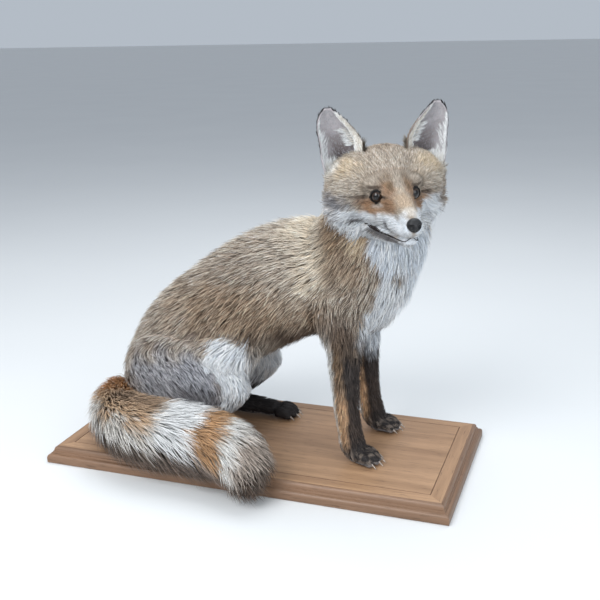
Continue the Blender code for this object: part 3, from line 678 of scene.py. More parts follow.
def toe_places() -> Iterable[tuple[Vector, Vector]]:
    """Give the root on the plinth and the heading of every toe.

    Returns:
        A pair for each toe, four on each paw.
    """
    middle = (TOES - 1) / 2
    for _, side in SIDES:
        for (x, y, turn), stagger in ((FORE_TOES, 0.0), (HIND_TOES, HIND_STAGGER)):
            shift = stagger if side < 0 else 0.0
            for index in range(TOES):
                spread = (index - middle) / middle
                heading = side * turn + spread * TOE_FAN
                reach = TOE_REACH * (1 / 3 if abs(spread) < 0.5 else -2 / 3)
                root = Vector((x + shift + reach, MID_Y + side * y + spread * TOE_SPREAD, 0.0))
                yield root, Vector((math.cos(heading), math.sin(heading), 0))


def toe_form(root: Vector, heading: Vector) -> Form:
    """Shape one rounded toe.

    Args:
        root: where it starts, on the plinth.
        heading: the way that it points.

    Returns:
        Its form.
    """
    base = root + UP * (STANDING + TOE_KNUCKLE)
    middle = base + heading * (TOE_LENGTH / 2)
    tip = root + heading * TOE_LENGTH + UP * (STANDING + TOE_RADIUS * 0.9)
    stations = ((*base, TOE_RADIUS, TOE_DEPTH), (*middle, TOE_RADIUS, TOE_DEPTH),
                (*tip, TOE_RADIUS * 0.86, TOE_RADIUS * 0.86))
    return Form("toe", stations, (TOE_COAT, TOE_COAT), UP.cross(heading), 20, 18, 0.22)


def tail_core() -> tuple[Row, ...]:
    """Return the tail's stations, reduced to its skin."""
    return tuple((*row[:3], row[3] * TAIL_CORE, row[4] * TAIL_CORE) for row in TAIL[:-1])


# Lie of the coat on each length
TRUNK_LIE = Lie(-1, (0.026, 0.026), (0.015, 0.017), (0.0011, 0.0011), (21.5, 21.5), 0.85)
NECK_LIE = Lie(-1, (0.027, 0.024), (0.016, 0.014), (0.0010, 0.0010), (26, 27), 0.30)
FORELEG_LIE = Lie(1, (0.023, 0.009), (0.010, 0.0032), (0.0011, 0.0009), (20, 44))
THIGH_LIE = Lie(1, (0.022, 0.018), (0.013, 0.010), (0.0010, 0.0010), (24, 27), 1.3)
SHANK_LIE = Lie(1, (0.018, 0.010), (0.007, 0.0035), (0.0012, 0.0010), (18, 26), 0.3)
FOOT_LIE = Lie(1, (0.010, 0.008), (0.0035, 0.0026), (0.0010, 0.0009), (28, 38))
TOE_LIE = Lie(1, (0.0055, 0.0042), (0.0014, 0.0010), (0.0007, 0.0006), (95, 95))
TAIL_LIE = Lie(1, (0.041, 0.042), (0.020, 0.017), (0.0013, 0.0011), (23, 31), 1.1)
# The head's own lie is read from its marks, and not from its lengths
HEAD_LIE = Lie(-1, (0.01, 0.01), (0.004, 0.004), (0.001, 0.001), (30, 30))
# Depth of coat that the legs' and the head's forms are made smaller by
FORELEG_INSET = (0.010, 0.0030)
SHOULDER_INSET = (0.011, 0.009)
MUZZLE_INSET = (0.004, 0.0012)
LIPS_INSET = (0.005, 0.0014)
JAW_INSET = (0.009, 0.0022)


def body_lengths() -> list[Length]:
    """Gather every length of the body with its form and the lie of its coat.

    Returns:
        The lengths.
    """
    made = [
        Length(Form("trunk", TRUNK, TRUNK_LIE.depth, rings=60, segments=40), TRUNK_LIE, "trunk"),
        Length(Form("neck", NECK, NECK_LIE.depth, segments=40), NECK_LIE, "neck"),
        Length(Form("tail", tail_core(), side=UP, rings=64, segments=24), TAIL_LIE, "tail",
               Kind.LOCK),
    ]
    for _, sign in SIDES:
        shift = HIND_STAGGER if sign < 0 else 0.0
        for form, lie, coat in (
                (Form("foreleg", sided(FORELEG, sign), FORELEG_INSET, rings=60), FORELEG_LIE, "forelegs"),
                (Form("thigh", sided(THIGH, sign), THIGH_LIE.depth), THIGH_LIE, "thighs"),
                (Form("shank", sided(SHANK, sign), SHANK_LIE.depth), SHANK_LIE, "hind_feet"),
                (Form("hind_foot", sided(HIND_FOOT, sign, shift), FOOT_LIE.depth), FOOT_LIE,
                 "hind_feet")):
            made.append(Length(form, lie, coat))
    for root, heading in toe_places():
        coat = "forelegs" if root.x > 0.1 else "hind_feet"
        made.append(Length(toe_form(root, heading), TOE_LIE, coat, Kind.SPIKE))
    for name, stations, inset in (("muzzle", MUZZLE, MUZZLE_INSET), ("lips", LIPS, LIPS_INSET),
                                  ("jaw", JAW, JAW_INSET), ("skull", SKULL, (0.0, 0.0))):
        made.append(Length(Form(name, stations, inset, on_head=True), HEAD_LIE, "head"))
    return made


@dataclass(frozen=True)
class Ear:
    """One cupped ear with a rounded point, that opens forward and outward.

    blunt, waist and belly shape its outline, and least is the share of its half width that
    its point keeps. cup is how deep it is hollowed, fading towards the tip with the power
    shallow, and seat is the share of that by which its base is set forward. skirt is how far
    off its sheet, in thicknesses, its skin reaches.
    """

    side: int
    base: Vector = Vector((-0.052, 0.0555, 0.018))
    tip: Vector = Vector((-0.052, 0.0565, 0.106))
    lean: float = 0.0150
    lean_start: float = 0.42
    half_width: float = 0.0272
    blunt: float = 0.60
    waist: float = 0.78
    belly: float = 0.24
    least: float = 0.16
    cup: float = 0.0175
    shallow: float = 0.55
    seat: float = 0.35
    thickness: float = 0.0022
    turn: float = math.radians(4)
    skirt: float = 1.6

    def axes(self) -> tuple[np.ndarray, ...]:
        """Work out how the ear stands, in the head's frame.

        Returns:
            Its base, its rise, and the ways across it and out of its open front.
        """
        flip = Vector((1, self.side, 1))
        base, rise = self.base * flip, (self.tip - self.base) * flip
        facing = Vector((math.cos(self.turn), self.side * math.sin(self.turn), 0.0))
        across = rise.normalized().cross(facing).normalized()
        return tuple(np.array(v) for v in (base, rise, across, across.cross(rise.normalized())))

    def outward(self) -> float:
        """Return the sign of the place across on the edge away from the other ear."""
        return math.copysign(1.0, self.axes()[2][1] * self.side)

    def width_at(self, high: np.ndarray) -> np.ndarray:
        """Work out how wide the ear is.

        Args:
            high: heights from 0 at the base to 1 at the tip.

        Returns:
            Its half width at each.
        """
        shape = self.waist + self.belly * np.sin(math.pi * high)
        width = self.half_width * (1 - high ** 4) ** self.blunt * shape
        return np.maximum(width, self.half_width * self.least)

    def lean_at(self, high: np.ndarray) -> np.ndarray:
        """Return how far the ear leans outward at rows of heights from 0 to 1."""
        return self.side * self.lean * ease(self.lean_start, 1.0, high)

    def sheet(self, u: np.ndarray, v: np.ndarray) -> np.ndarray:
        """Place points on the ear's middle sheet.

        Args:
            u: place across, from -1 to 1.
            v: place up the ear, from 0 at the base to 1 at the tip.

        Returns:
            Rows of points in the head's frame.
        """
        base, rise, across, facing = self.axes()
        high = np.clip(v, 0, 1)
        cup = self.cup * (1 - high) ** self.shallow * (1 - u * u)
        lean = np.zeros((len(v), 3))
        lean[:, 1] = self.lean_at(high)
        return (base + rise * v[:, None] + lean + across * (u * self.width_at(high))[:, None]
                - facing * (cup - self.cup * self.seat * (1 - high))[:, None])

    def surface(self, u: np.ndarray, v: np.ndarray, face: float,
                step: float = 0.01) -> tuple[np.ndarray, ...]:
        """Place points on one face of the ear.

        Args:
            u: place across, from -1 to 1.
            v: place up the ear, from 0 to 1.
            face: 1 for the open front and -1 for the back.
            step: distance across and up over which the slope is read.

        Returns:
            The points and the outward normals, in the world.
        """
        high = np.minimum(v, 1 - 2 * step)
        along = self.sheet(u, high + step) - self.sheet(u, high)
        across = self.sheet(u + step, high) - self.sheet(u - step, high)
        normal = unit(np.cross(across, along))
        normal *= np.where(normal @ self.axes()[3] < 0, -1.0, 1.0)[:, None] * face
        points = self.sheet(u, v) + normal * (self.thickness / 2)
        return from_head(points), normal @ HEAD_TURN.T

    def build(self) -> Item:
        """Shape the ear from a grid.

        Returns:
            Its closed shell.
        """
        bm = bmesh.new()
        bmesh.ops.create_grid(bm, x_segments=26, y_segments=34, size=1.0)
        grid = np.array([vert.co for vert in bm.verts])
        move_points(bm, from_head(self.sheet(grid[:, 0], (grid[:, 1] + 1) / 2)))
        item = modified(made_object(bm, "ear"), "SOLIDIFY", thickness=self.thickness, offset=0.0,
                        use_even_offset=True)
        bm = bmesh.new()
        bm.from_mesh(item.data)
        bmesh.ops.recalc_face_normals(bm, faces=bm.faces)
        bpy.data.objects.remove(item, do_unlink=True)
        return made_object(bm, "ear")

    def places_of(self, local: np.ndarray) -> tuple[np.ndarray, np.ndarray]:
        """Find where rows of head-frame points are on the ear.

        Args:
            local: the points.

        Returns:
            The height up the ear, below 0 for points off it, and the place across, from -1
            at the edge beside the other ear to 1.
        """
        base, rise, across, _ = self.axes()
        offset = local - base
        high = offset @ rise / (rise @ rise)
        offset[:, 1] -= self.lean_at(high)
        aside = offset @ across
        place = np.clip(aside / self.width_at(np.clip(high, 0, 1)), -1, 1)
        off = sizes_of(local - self.sheet(place, high)) > self.thickness * self.skirt
        return np.where(off, -1.0, high), aside / self.half_width * self.outward()


EARS = (Ear(1), Ear(-1))


@dataclass(frozen=True)
class Eye:
    """One glass eye with its lids and socket.

    bulge is how much the glass swells in front, over an angle of bulge_wide. rim is where the
    black of the lids fades, as distances from the eye's centre. No hair grows within bare_lid
    of it, nor within bare_front and the cone whose cosine is bare_cone. Each corner is a
    distance aside and a drop, and corner_radii is the size of its dark mark.
    """

    side: int
    centre: Vector = Vector((-0.0086, 0.0222, -0.0010))
    radius: float = 0.0090
    outward: float = math.radians(26)
    bulge: float = 0.05
    bulge_wide: float = 0.5
    open_wide: float = 0.0076
    open_high: float = 0.0054
    open_flare: float = 1.3
    lid_ring: float = 0.0084
    lid_thick: float = 0.0020
    lid_seat: float = 0.0046
    lid_shape: Pair = (1.06, 0.78)
    rim: Pair = (0.0102, 0.0122)
    bare_lid: float = 0.0104
    bare_front: float = 0.0145
    bare_cone: float = 0.62
    corners: tuple[Pair, ...] = ((0.0098, -0.0034), (-0.0098, -0.0006))
    corner_ahead: float = 0.004
    corner_radii: Point = (0.0050, 0.0042, 0.0020)

    def middle(self) -> Vector:
        """Return the eye's centre in the head's frame."""
        return self.centre * Vector((1, self.side, 1))

    def look(self) -> Vector:
        """Return the way that the eye looks, in the head's frame."""
        return Vector((math.cos(self.outward), self.side * math.sin(self.outward), 0.0))

    def turned(self) -> Matrix:
        """Work out how the eye stands.

        Returns:
            The matrix from the eye's own frame, which looks along Z, to the world.
        """
        look = self.look()
        across = UP.cross(look).normalized()
        turn = Matrix((across, look.cross(across), look)).transposed().to_4x4()
        turn.translation = self.middle()
        return HEAD @ turn

    def gap(self, local: np.ndarray) -> np.ndarray:
        """Return how far rows of head-frame points are from the eye's centre."""
        return sizes_of(local - np.array(self.middle()))

    def bare(self, local: np.ndarray) -> np.ndarray:
        """Find where no hair grows on the lids and before the glass.

        Args:
            local: rows of head-frame points.

        Returns:
            Whether each point is bare.
        """
        gap = self.gap(local)
        facing = (local - np.array(self.middle())) @ np.array(self.look()) / np.maximum(gap, 1e-6)
        return (gap < self.bare_lid) | ((facing > self.bare_cone) & (gap < self.bare_front))

    def black(self, local: np.ndarray) -> Iterable[np.ndarray]:
        """Give where the lids' rim and the corners of the eye are black.

        Args:
            local: rows of head-frame points.

        Returns:
            Masks from 0 to 1, one after the other.
        """
        yield fall(*self.rim, self.gap(local))
        turn = np.array(UP.cross(self.look())) * -self.side
        for aside, drop in self.corners:
            corner = (np.array(self.middle()) + turn * aside
                      + np.array(self.look()) * self.corner_ahead)
            corner[2] += drop
            yield fall(0.6, 1.1, sizes_of((local - corner) / np.array(self.corner_radii)))

    def build(self, name: str) -> Item:
        """Shape the glass eye, with its angle from the pupil as an attribute.

        Args:
            name: name of the object.

        Returns:
            The eye.
        """
        bm = bmesh.new()
        bmesh.ops.create_uvsphere(bm, u_segments=48, v_segments=40, radius=self.radius)
        angles = []
        for vert in bm.verts:
            angle = math.acos(max(-1.0, min(1.0, vert.co.z / self.radius)))
            vert.co *= 1 + self.bulge * math.exp(-((angle / self.bulge_wide) ** 2))
            angles.append(angle)
        bmesh.ops.transform(bm, matrix=self.turned(), verts=bm.verts)
        item = made_object(bm, name)
        layer = item.data.attributes.new("from_pupil", "FLOAT", "POINT")
        layer.data.foreach_set("value", np.array(angles, np.float32))
        return item

    def lids(self) -> Item:
        """Sweep the ring of lids round the eye by a full spin.

        Returns:
            The lids.
        """
        bm = bmesh.new()
        circle = bmesh.ops.create_circle(bm, cap_ends=False, radius=self.lid_thick, segments=12)
        turn = Matrix.Translation((self.lid_ring, 0, 0)) @ Matrix.Rotation(math.pi / 2, 4, "X")
        bmesh.ops.transform(bm, matrix=turn, verts=circle["verts"])
        bmesh.ops.spin(bm, geom=bm.verts[:] + bm.edges[:], axis=(0, 0, 1), cent=(0, 0, 0),
                       angle=2 * math.pi, steps=36, use_merge=True)
        flatten = Matrix.Translation((0, 0, self.lid_seat)) @ Matrix.Diagonal((*self.lid_shape, 1, 1))
        bmesh.ops.transform(bm, matrix=self.turned() @ flatten, verts=bm.verts)
        bmesh.ops.recalc_face_normals(bm, faces=bm.faces)
        return made_object(bm, "lids")

    def socket(self) -> Item:
        """Shape the cutter of the socket and of the almond-shaped way through the lids.

        Returns:
            The cutter.
        """
        look, middle = self.look(), self.middle()
        near, far = middle + look * (self.radius * 0.3), middle + look * (self.radius * 2.4)
        stations = ((*near, self.open_high, self.open_wide),
                    (*far, self.open_high * self.open_flare, self.open_wide * self.open_flare))
        opening = Form("opening", stations, side=UP, rings=24, segments=32, cap=0.2,
                       on_head=True).build()
        ball = Swelling("socket", tuple(middle), (self.radius + 0.0003,) * 3, True).build()
        return boolean(ball, opening, "UNION")


EYES = (Eye(1), Eye(-1))
NOSE_CENTRE = Vector((0.0690, 0.0, -0.0250))
NOSE_RADII = Vector((0.0085, 0.0092, 0.0088))


def mouth_rows() -> np.ndarray:
    """Return the points of the mouth from one corner round the front to the other."""
    other = tuple((x, -y, z) for x, y, z in reversed(MOUTH_HALF))
    return np.array(MOUTH_HALF + (MOUTH_FRONT,) + other, float)


def mouth_gap(local: np.ndarray, swell: float) -> np.ndarray:
    """Measure how far points are from the mouth.

    Args:
        local: rows of head-frame points.
        swell: what is taken off the distance where the mouth is thickest.

    Returns:
        The distances.
    """
    rows = mouth_rows()
    last = len(rows) - 1
    at = np.linspace(0, last, 100)
    thick = np.exp(-(np.minimum(at, last - at) - MOUTH_THICK_AT) ** 2) * swell
    away = np.linalg.norm(local[:, None, :] - read_line(rows, at)[None], axis=2)
    return (away - thick).min(axis=1)


# Swellings that are fused with the lengths of the torso, and with those of the head
SEAT = Swelling("seat", (-0.158, MID_Y, 0.062), (0.040, 0.050, 0.033))
FOLDS = tuple(Swelling("fold", (-0.052, MID_Y + sign * 0.045, 0.168), (0.046, 0.024, 0.030))
              for _, sign in SIDES)
HEAD_SWELLINGS = (
    Swelling("cranium", (-0.054, 0, 0.003), (0.042, 0.053, 0.049), True),
    Swelling("nape", (-0.066, 0, -0.020), (0.026, 0.042, 0.037), True),
    Swelling("cheeks", (-0.052, 0, -0.019), (0.026, 0.067, 0.036), True),
    Swelling("temple", (-0.048, 0.034, 0.011), (0.029, 0.039, 0.034), True),
    Swelling("brow", (-0.017, 0.021, 0.0115), (0.0150, 0.0160, 0.0085), True),
    Swelling("temple", (-0.048, -0.034, 0.011), (0.029, 0.039, 0.034), True),
    Swelling("brow", (-0.017, -0.021, 0.0115), (0.0150, 0.0160, 0.0085), True),
)


@dataclass
class Skin:
    """The one skin of the fox, from its ears to the end of its tail.

    Each part has a voxel size and a number of smoothing passes. groove is the radius of the
    mouth's crease and groove_in how far in it lies, nose_seat the share of the nose that is
    sunk into the skin, and kept the share of the faces that is kept.
    """

    lengths: list[Length]
    torso_voxel: float = 0.0032
    torso_passes: int = 8
    limb_voxel: float = 0.0017
    limb_passes: int = 5
    head_voxel: float = 0.00125
    head_passes: int = 14
    lid_passes: int = 3
    groove: float = 0.0014
    groove_in: float = 0.965
    nose_seat: float = 0.97
    kept: float = 0.50

    def forms(self, *names: str) -> list[Item]:
        """Build the forms whose names start with one of the given words."""
        return [length.form.build() for length in self.lengths if length.form.name.startswith(names)]

    def torso(self) -> Item:
        """Fuse the trunk, neck, thighs and tail.

        Returns:
            One surface.
        """
        tops = [Form("shoulder", sided(FORELEG[:4], sign), SHOULDER_INSET) for _, sign in SIDES]
        forms = self.forms("trunk", "neck", "thigh", "tail")
        forms += [form.build() for form in (*tops, *FOLDS, SEAT)]
        return fused("torso", forms, self.torso_voxel, self.torso_passes)

    def limbs(self) -> Item:
        """Return the legs and feet, each leg as one surface."""
        forms = self.forms("foreleg", "shank", "hind_foot", "toe")
        return fused("limbs", forms, self.limb_voxel, self.limb_passes)

    def head(self) -> Item:
        """Fuse the head, and cut its sockets, mouth line and the seat of the nose.

        Returns:
            The head without its ears.
        """
        forms = self.forms("muzzle", "lips", "jaw") + [form.build() for form in HEAD_SWELLINGS]
        head = fused("head", forms, self.head_voxel, self.head_passes)
        lids = joined("lids", [eye.lids() for eye in EYES])
        head = fused("head", [head, lids], self.head_voxel, self.lid_passes)
        rows = mouth_rows() * (1.0, self.groove_in, 1.0)
        groove = Form("groove", tuple((*row, self.groove, self.groove) for row in rows), side=UP,
                      rings=80, segments=10, cap=0.04, on_head=True)
        seat = Swelling("seat", tuple(NOSE_CENTRE), tuple(NOSE_RADII * self.nose_seat), True)
        for cutter in (EYES[0].socket(), EYES[1].socket(), groove.build(), seat.build()):
            boolean(head, cutter, "DIFFERENCE")
        return head

    def build(self) -> Item:
        """Join the torso, limbs, head and ears.

        Returns:
            The whole skin as one closed surface of triangles.
        """
        skin = boolean(self.torso(), self.limbs(), "UNION")
        head = self.head()
        for ear in EARS:
            boolean(head, ear.build(), "UNION")
        boolean(skin, head, "UNION")
        skin.name = skin.data.name = "skin"
        modified(skin, "DECIMATE", ratio=self.kept)
        bm = bmesh.new()
        bm.from_mesh(skin.data)
        bmesh.ops.triangulate(bm, faces=bm.faces)
        bm.to_mesh(skin.data)
        bm.free()
        skin.data.shade_smooth()
        log.info("skin: %d triangles", len(skin.data.polygons))
        return skin


@dataclass(frozen=True)
class Shade:
    """One colour of fur: at the root, the middle and the tip, and its share of dark tips."""

    root: Point
    middle: Point
    tip: Point
    dark: float = 0.0

    def row(self) -> np.ndarray:
        """Return the shade as ten numbers."""
        return np.array((*self.root, *self.middle, *self.tip, self.dark))


GRIZZLE = Shade((0.125, 0.097, 0.076), (0.36, 0.278, 0.213), (0.86, 0.775, 0.66), 0.37)
RUSSET = Shade((0.11, 0.070, 0.045), (0.29, 0.180, 0.105), (0.62, 0.46, 0.30), 0.35)
BEIGE = Shade((0.38, 0.30, 0.22), (0.66, 0.545, 0.41), (0.86, 0.78, 0.66), 0.05)
SAND = Shade((0.28, 0.23, 0.18), (0.48, 0.40, 0.32), (0.74, 0.68, 0.59), 0.18)
OCHRE = Shade((0.30, 0.20, 0.12), (0.58, 0.43, 0.27), (0.74, 0.62, 0.45), 0.07)
AMBER = Shade((0.17, 0.085, 0.045), (0.35, 0.195, 0.105), (0.50, 0.33, 0.21), 0.10)
ORANGE = Shade((0.17, 0.080, 0.035), (0.39, 0.205, 0.092), (0.56, 0.35, 0.195), 0.05)
CHESTNUT = Shade((0.110, 0.040, 0.014), (0.25, 0.100, 0.036), (0.40, 0.195, 0.080), 0.04)
TAN = Shade((0.30, 0.155, 0.08), (0.58, 0.345, 0.195), (0.74, 0.52, 0.33), 0.03)
TAWNY = Shade((0.26, 0.145, 0.075), (0.45, 0.260, 0.130), (0.63, 0.44, 0.275), 0.03)
FAWN = Shade((0.30, 0.21, 0.14), (0.52, 0.385, 0.27), (0.66, 0.53, 0.40), 0.03)
BROWN = Shade((0.08, 0.05, 0.03), (0.21, 0.13, 0.075), (0.42, 0.30, 0.19), 0.38)
UMBER = Shade((0.04, 0.028, 0.022), (0.10, 0.067, 0.049), (0.20, 0.14, 0.105), 0.35)
SMOKE = Shade((0.09, 0.085, 0.095), (0.24, 0.23, 0.25), (0.53, 0.52, 0.55), 0.34)
SILVER = Shade((0.14, 0.14, 0.155), (0.38, 0.38, 0.42), (0.78, 0.80, 0.85), 0.24)
PEARL = Shade((0.33, 0.34, 0.37), (0.56, 0.58, 0.62), (0.82, 0.84, 0.88), 0.12)
WHITE = Shade((0.66, 0.70, 0.76), (0.84, 0.88, 0.93), (0.91, 0.94, 0.97), 0.0)
# White darkened and cooled as painted shade, for the bib and the far foreleg
WHITE_IN_SHADE = Shade((0.50, 0.545, 0.61), (0.67, 0.72, 0.79), (0.81, 0.86, 0.91), 0.0)
CREAM = Shade((0.44, 0.41, 0.37), (0.73, 0.70, 0.65), (0.87, 0.85, 0.82), 0.0)
TAUPE = Shade((0.07, 0.064, 0.068), (0.14, 0.132, 0.138), (0.24, 0.23, 0.24), 0.15)
ASH = Shade((0.12, 0.115, 0.12), (0.27, 0.26, 0.265), (0.48, 0.47, 0.48), 0.10)
DRAB = Shade((0.17, 0.130, 0.105), (0.33, 0.260, 0.21), (0.53, 0.445, 0.38), 0.18)
SOOT = Shade((0.016, 0.013, 0.013), (0.032, 0.027, 0.027), (0.075, 0.064, 0.062), 0.3)
DARK_TIP = np.array((0.035, 0.027, 0.023))


@dataclass(frozen=True)
class Spot:
    """An egg-shaped patch of one shade, with an edge that fades over a share of its size."""

    shade: Shade
    centre: Point
    radii: Point
    edge: float = 0.4
    strength: float = 1.0
    paired: bool = True


# Markings of the body in the world, paired about its middle plane, with painted shade on the white of the bib
BODY_SPOTS = (
    Spot(RUSSET, (-0.01, -0.055, 0.230), (0.12, 0.06, 0.045), 0.6, 0.7),
    Spot(SAND, (0.050, -0.030, 0.318), (0.050, 0.060, 0.070), 0.6, 0.6),
    Spot(BEIGE, (0.064, -0.008, 0.352), (0.030, 0.055, 0.030), 0.45, 0.95),
    Spot(BEIGE, (0.084, -0.056, 0.304), (0.022, 0.040, 0.046), 0.5, 0.85),
    Spot(BROWN, (0.122, -0.030, 0.352), (0.030, 0.050, 0.026), 0.4, 0.85),
    Spot(RUSSET, (0.140, -0.060, 0.312), (0.034, 0.030, 0.034), 0.5, 0.6),
    Spot(OCHRE, (0.150, -0.061, 0.338), (0.016, 0.018, 0.014), 0.6, 0.7, False),
    Spot(UMBER, (0.050, MID_Y, 0.180), (0.110, 0.070, 0.034), 0.45, 0.9, False),
    Spot(UMBER, (0.132, -0.058, 0.202), (0.036, 0.034, 0.038), 0.6, 0.9),
    Spot(PEARL, (-0.010, -0.045, 0.135), (0.040, 0.050, 0.034), 0.45, 0.75),
    Spot(PEARL, (-0.030, 0.070, 0.100), (0.050, 0.050, 0.050), 0.4, 1.0, False),
    Spot(SILVER, (-0.125, -0.075, 0.112), (0.070, 0.050, 0.056), 0.55, 0.9),
    Spot(SMOKE, (-0.060, -0.078, 0.106), (0.047, 0.034, 0.031), 0.5, 0.9),
    Spot(UMBER, (-0.060, -0.080, 0.111), (0.045, 0.034, 0.009), 0.6, 0.5),
    Spot(SILVER, (-0.070, -0.078, 0.138), (0.034, 0.036, 0.030), 0.5, 0.9),
    Spot(WHITE, (-0.041, -0.062, 0.168), (0.032, 0.050, 0.026), 0.12, 1.0),
    Spot(WHITE, (-0.027, -0.066, 0.134), (0.024, 0.050, 0.030), 0.14, 1.0),
    Spot(WHITE, (-0.020, -0.066, 0.100), (0.025, 0.050, 0.045), 0.14, 1.0),
    Spot(SAND, (0.016, -0.034, 0.164), (0.024, 0.040, 0.022), 0.5, 0.6),
    # The bib's white in painted shade
    Spot(WHITE_IN_SHADE, (0.218, 0.004, 0.262), (0.042, 0.044, 0.078), 0.20, 1.0, False),
    Spot(WHITE_IN_SHADE, (0.209, -0.024, 0.330), (0.044, 0.050, 0.046), 0.22, 1.0, False),
    Spot(WHITE, (0.193, -0.022, 0.242), (0.029, 0.033, 0.054), 0.18, 1.0, False),
    Spot(WHITE, (0.175, -0.018, 0.216), (0.027, 0.036, 0.038), 0.20, 1.0, False),
    Spot(WHITE, (0.160, -0.022, 0.196), (0.021, 0.037, 0.028), 0.20, 1.0, False),
)
# White in painted shade at the top of the far foreleg
LEG_SPOTS = (Spot(WHITE_IN_SHADE, (0.152, 0.046, 0.182), (0.020, 0.024, 0.036), 0.3, 0.95, False),)

# Markings of the head in its own frame, paired left and right, with painted shade in the upper lip's crease, over the
# eyes and under the chin
HEAD_SPOTS = (
    Spot(GRIZZLE, (-0.030, 0.0, 0.045), (0.046, 0.044, 0.034), 0.5, 0.8, False),
    Spot(BROWN, (-0.062, 0.0, 0.058), (0.024, 0.030, 0.016), 0.6, 0.45, False),
    Spot(SAND, (-0.028, 0.055, 0.022), (0.026, 0.026, 0.016), 0.6, 0.7),
    Spot(OCHRE, (-0.034, 0.056, 0.033), (0.018, 0.022, 0.013), 0.6, 0.75),
    Spot(CREAM, (-0.048, 0.074, 0.034), (0.012, 0.014, 0.012), 0.6, 0.8),
    Spot(BROWN, (-0.004, 0.011, 0.014), (0.014, 0.008, 0.014), 0.6, 0.6),
    Spot(AMBER, (0.008, 0.014, 0.004), (0.016, 0.010, 0.014), 0.5, 0.8),
    Spot(AMBER, (0.016, 0.016, -0.010), (0.022, 0.012, 0.010), 0.5, 0.95),
    Spot(AMBER, (-0.008, 0.034, -0.014), (0.022, 0.020, 0.011), 0.5, 0.95),
    Spot(FAWN, (0.034, 0.0, -0.004), (0.030, 0.011, 0.013), 0.45, 0.95, False),
    Spot(CREAM, (0.056, 0.0, -0.010), (0.011, 0.009, 0.006), 0.6, 0.6, False),
    Spot(BROWN, (0.009, 0.0115, 0.0140), (0.006, 0.0040, 0.0090), 0.5, 0.9),
    # Painted shade of the brow over the upper lid
    Spot(UMBER, (-0.006, 0.028, 0.0105), (0.010, 0.011, 0.0024), 0.5, 0.8),
    Spot(PEARL, (-0.058, 0.066, -0.030), (0.036, 0.034, 0.026), 0.5, 0.85),
    Spot(SMOKE, (-0.048, 0.068, -0.012), (0.026, 0.022, 0.011), 0.6, 0.7),
    Spot(CREAM, (-0.001, 0.028, -0.0118), (0.009, 0.010, 0.0026), 0.7, 0.6),
    Spot(UMBER, (-0.0180, 0.0410, -0.0028), (0.0085, 0.0130, 0.0026), 0.6, 0.9),
    Spot(SOOT, (-0.0225, 0.0500, -0.0020), (0.0050, 0.0055, 0.0034), 0.7, 0.8),
    Spot(SOOT, (0.0080, 0.0200, -0.0008), (0.0045, 0.0045, 0.0022), 0.5, 0.9),
    Spot(WHITE, (-0.034, 0.055, -0.031), (0.024, 0.018, 0.012), 0.4, 0.9),
    Spot(WHITE, (-0.014, 0.041, -0.030), (0.026, 0.018, 0.0095), 0.35, 1.0),
    Spot(WHITE, (0.030, 0.024, -0.028), (0.034, 0.014, 0.0105), 0.35, 1.0),
    Spot(WHITE, (0.056, 0.012, -0.030), (0.014, 0.012, 0.016), 0.4, 1.0),
    Spot(WHITE, (0.010, 0.028, -0.040), (0.040, 0.018, 0.0085), 0.3, 1.0),
    Spot(WHITE, (-0.020, 0.0, -0.084), (0.085, 0.080, 0.032), 0.3, 1.0, False),
    Spot(WHITE, (-0.046, 0.052, -0.058), (0.034, 0.034, 0.020), 0.4, 1.0),
    Spot(WHITE, (-0.036, 0.058, -0.031), (0.034, 0.026, 0.020), 0.25, 1.0, False),
    Spot(GRIZZLE, (-0.052, 0.086, -0.008), (0.034, 0.018, 0.026), 0.5, 0.85, False),
    Spot(WHITE, (0.044, 0.0, -0.054), (0.030, 0.022, 0.014), 0.4, 1.0, False),
    # Grey of the chin: grey hair, with painted shade under the jaw
    Spot(ASH, (-0.004, 0.027, -0.0515), (0.030, 0.018, 0.0080), 0.5, 0.85),
    Spot(ASH, (0.026, 0.015, -0.0505), (0.020, 0.014, 0.0055), 0.5, 0.75),
    Spot(ASH, (0.046, 0.003, -0.0575), (0.011, 0.009, 0.0028), 0.6, 0.6, False),
    # Painted shade in the crease between the two lobes of the upper lip
    Spot(TAUPE, (0.0235, 0.023, -0.0350), (0.0042, 0.012, 0.0095), 0.5, 0.85),
    Spot(ASH, (-0.026, -0.048, -0.0290), (0.015, 0.014, 0.0040), 0.6, 0.55, False),
    Spot(TAUPE, (-0.006, 0.028, -0.0490), (0.026, 0.016, 0.0050), 0.5, 0.7),
    # Painted shade under the chin
    Spot(TAUPE, (0.018, 0.014, -0.0600), (0.024, 0.018, 0.0085), 0.5, 0.85),
    Spot(UMBER, (-0.033, 0.048, -0.0345), (0.015, 0.014, 0.0020), 0.6, 0.35),
    Spot(SOOT, (-0.032, -0.047, -0.0345), (0.014, 0.014, 0.0021), 0.6, 0.75, False),
)


# Noise that moves the edges of markings: its shares of the coarse and of the fine ripple
BODY_RUFFLE = (0.16, 0.10)
HEAD_RUFFLE = (0.12, 0.12)
TAIL_RUFFLE = (0.5, 0.5)


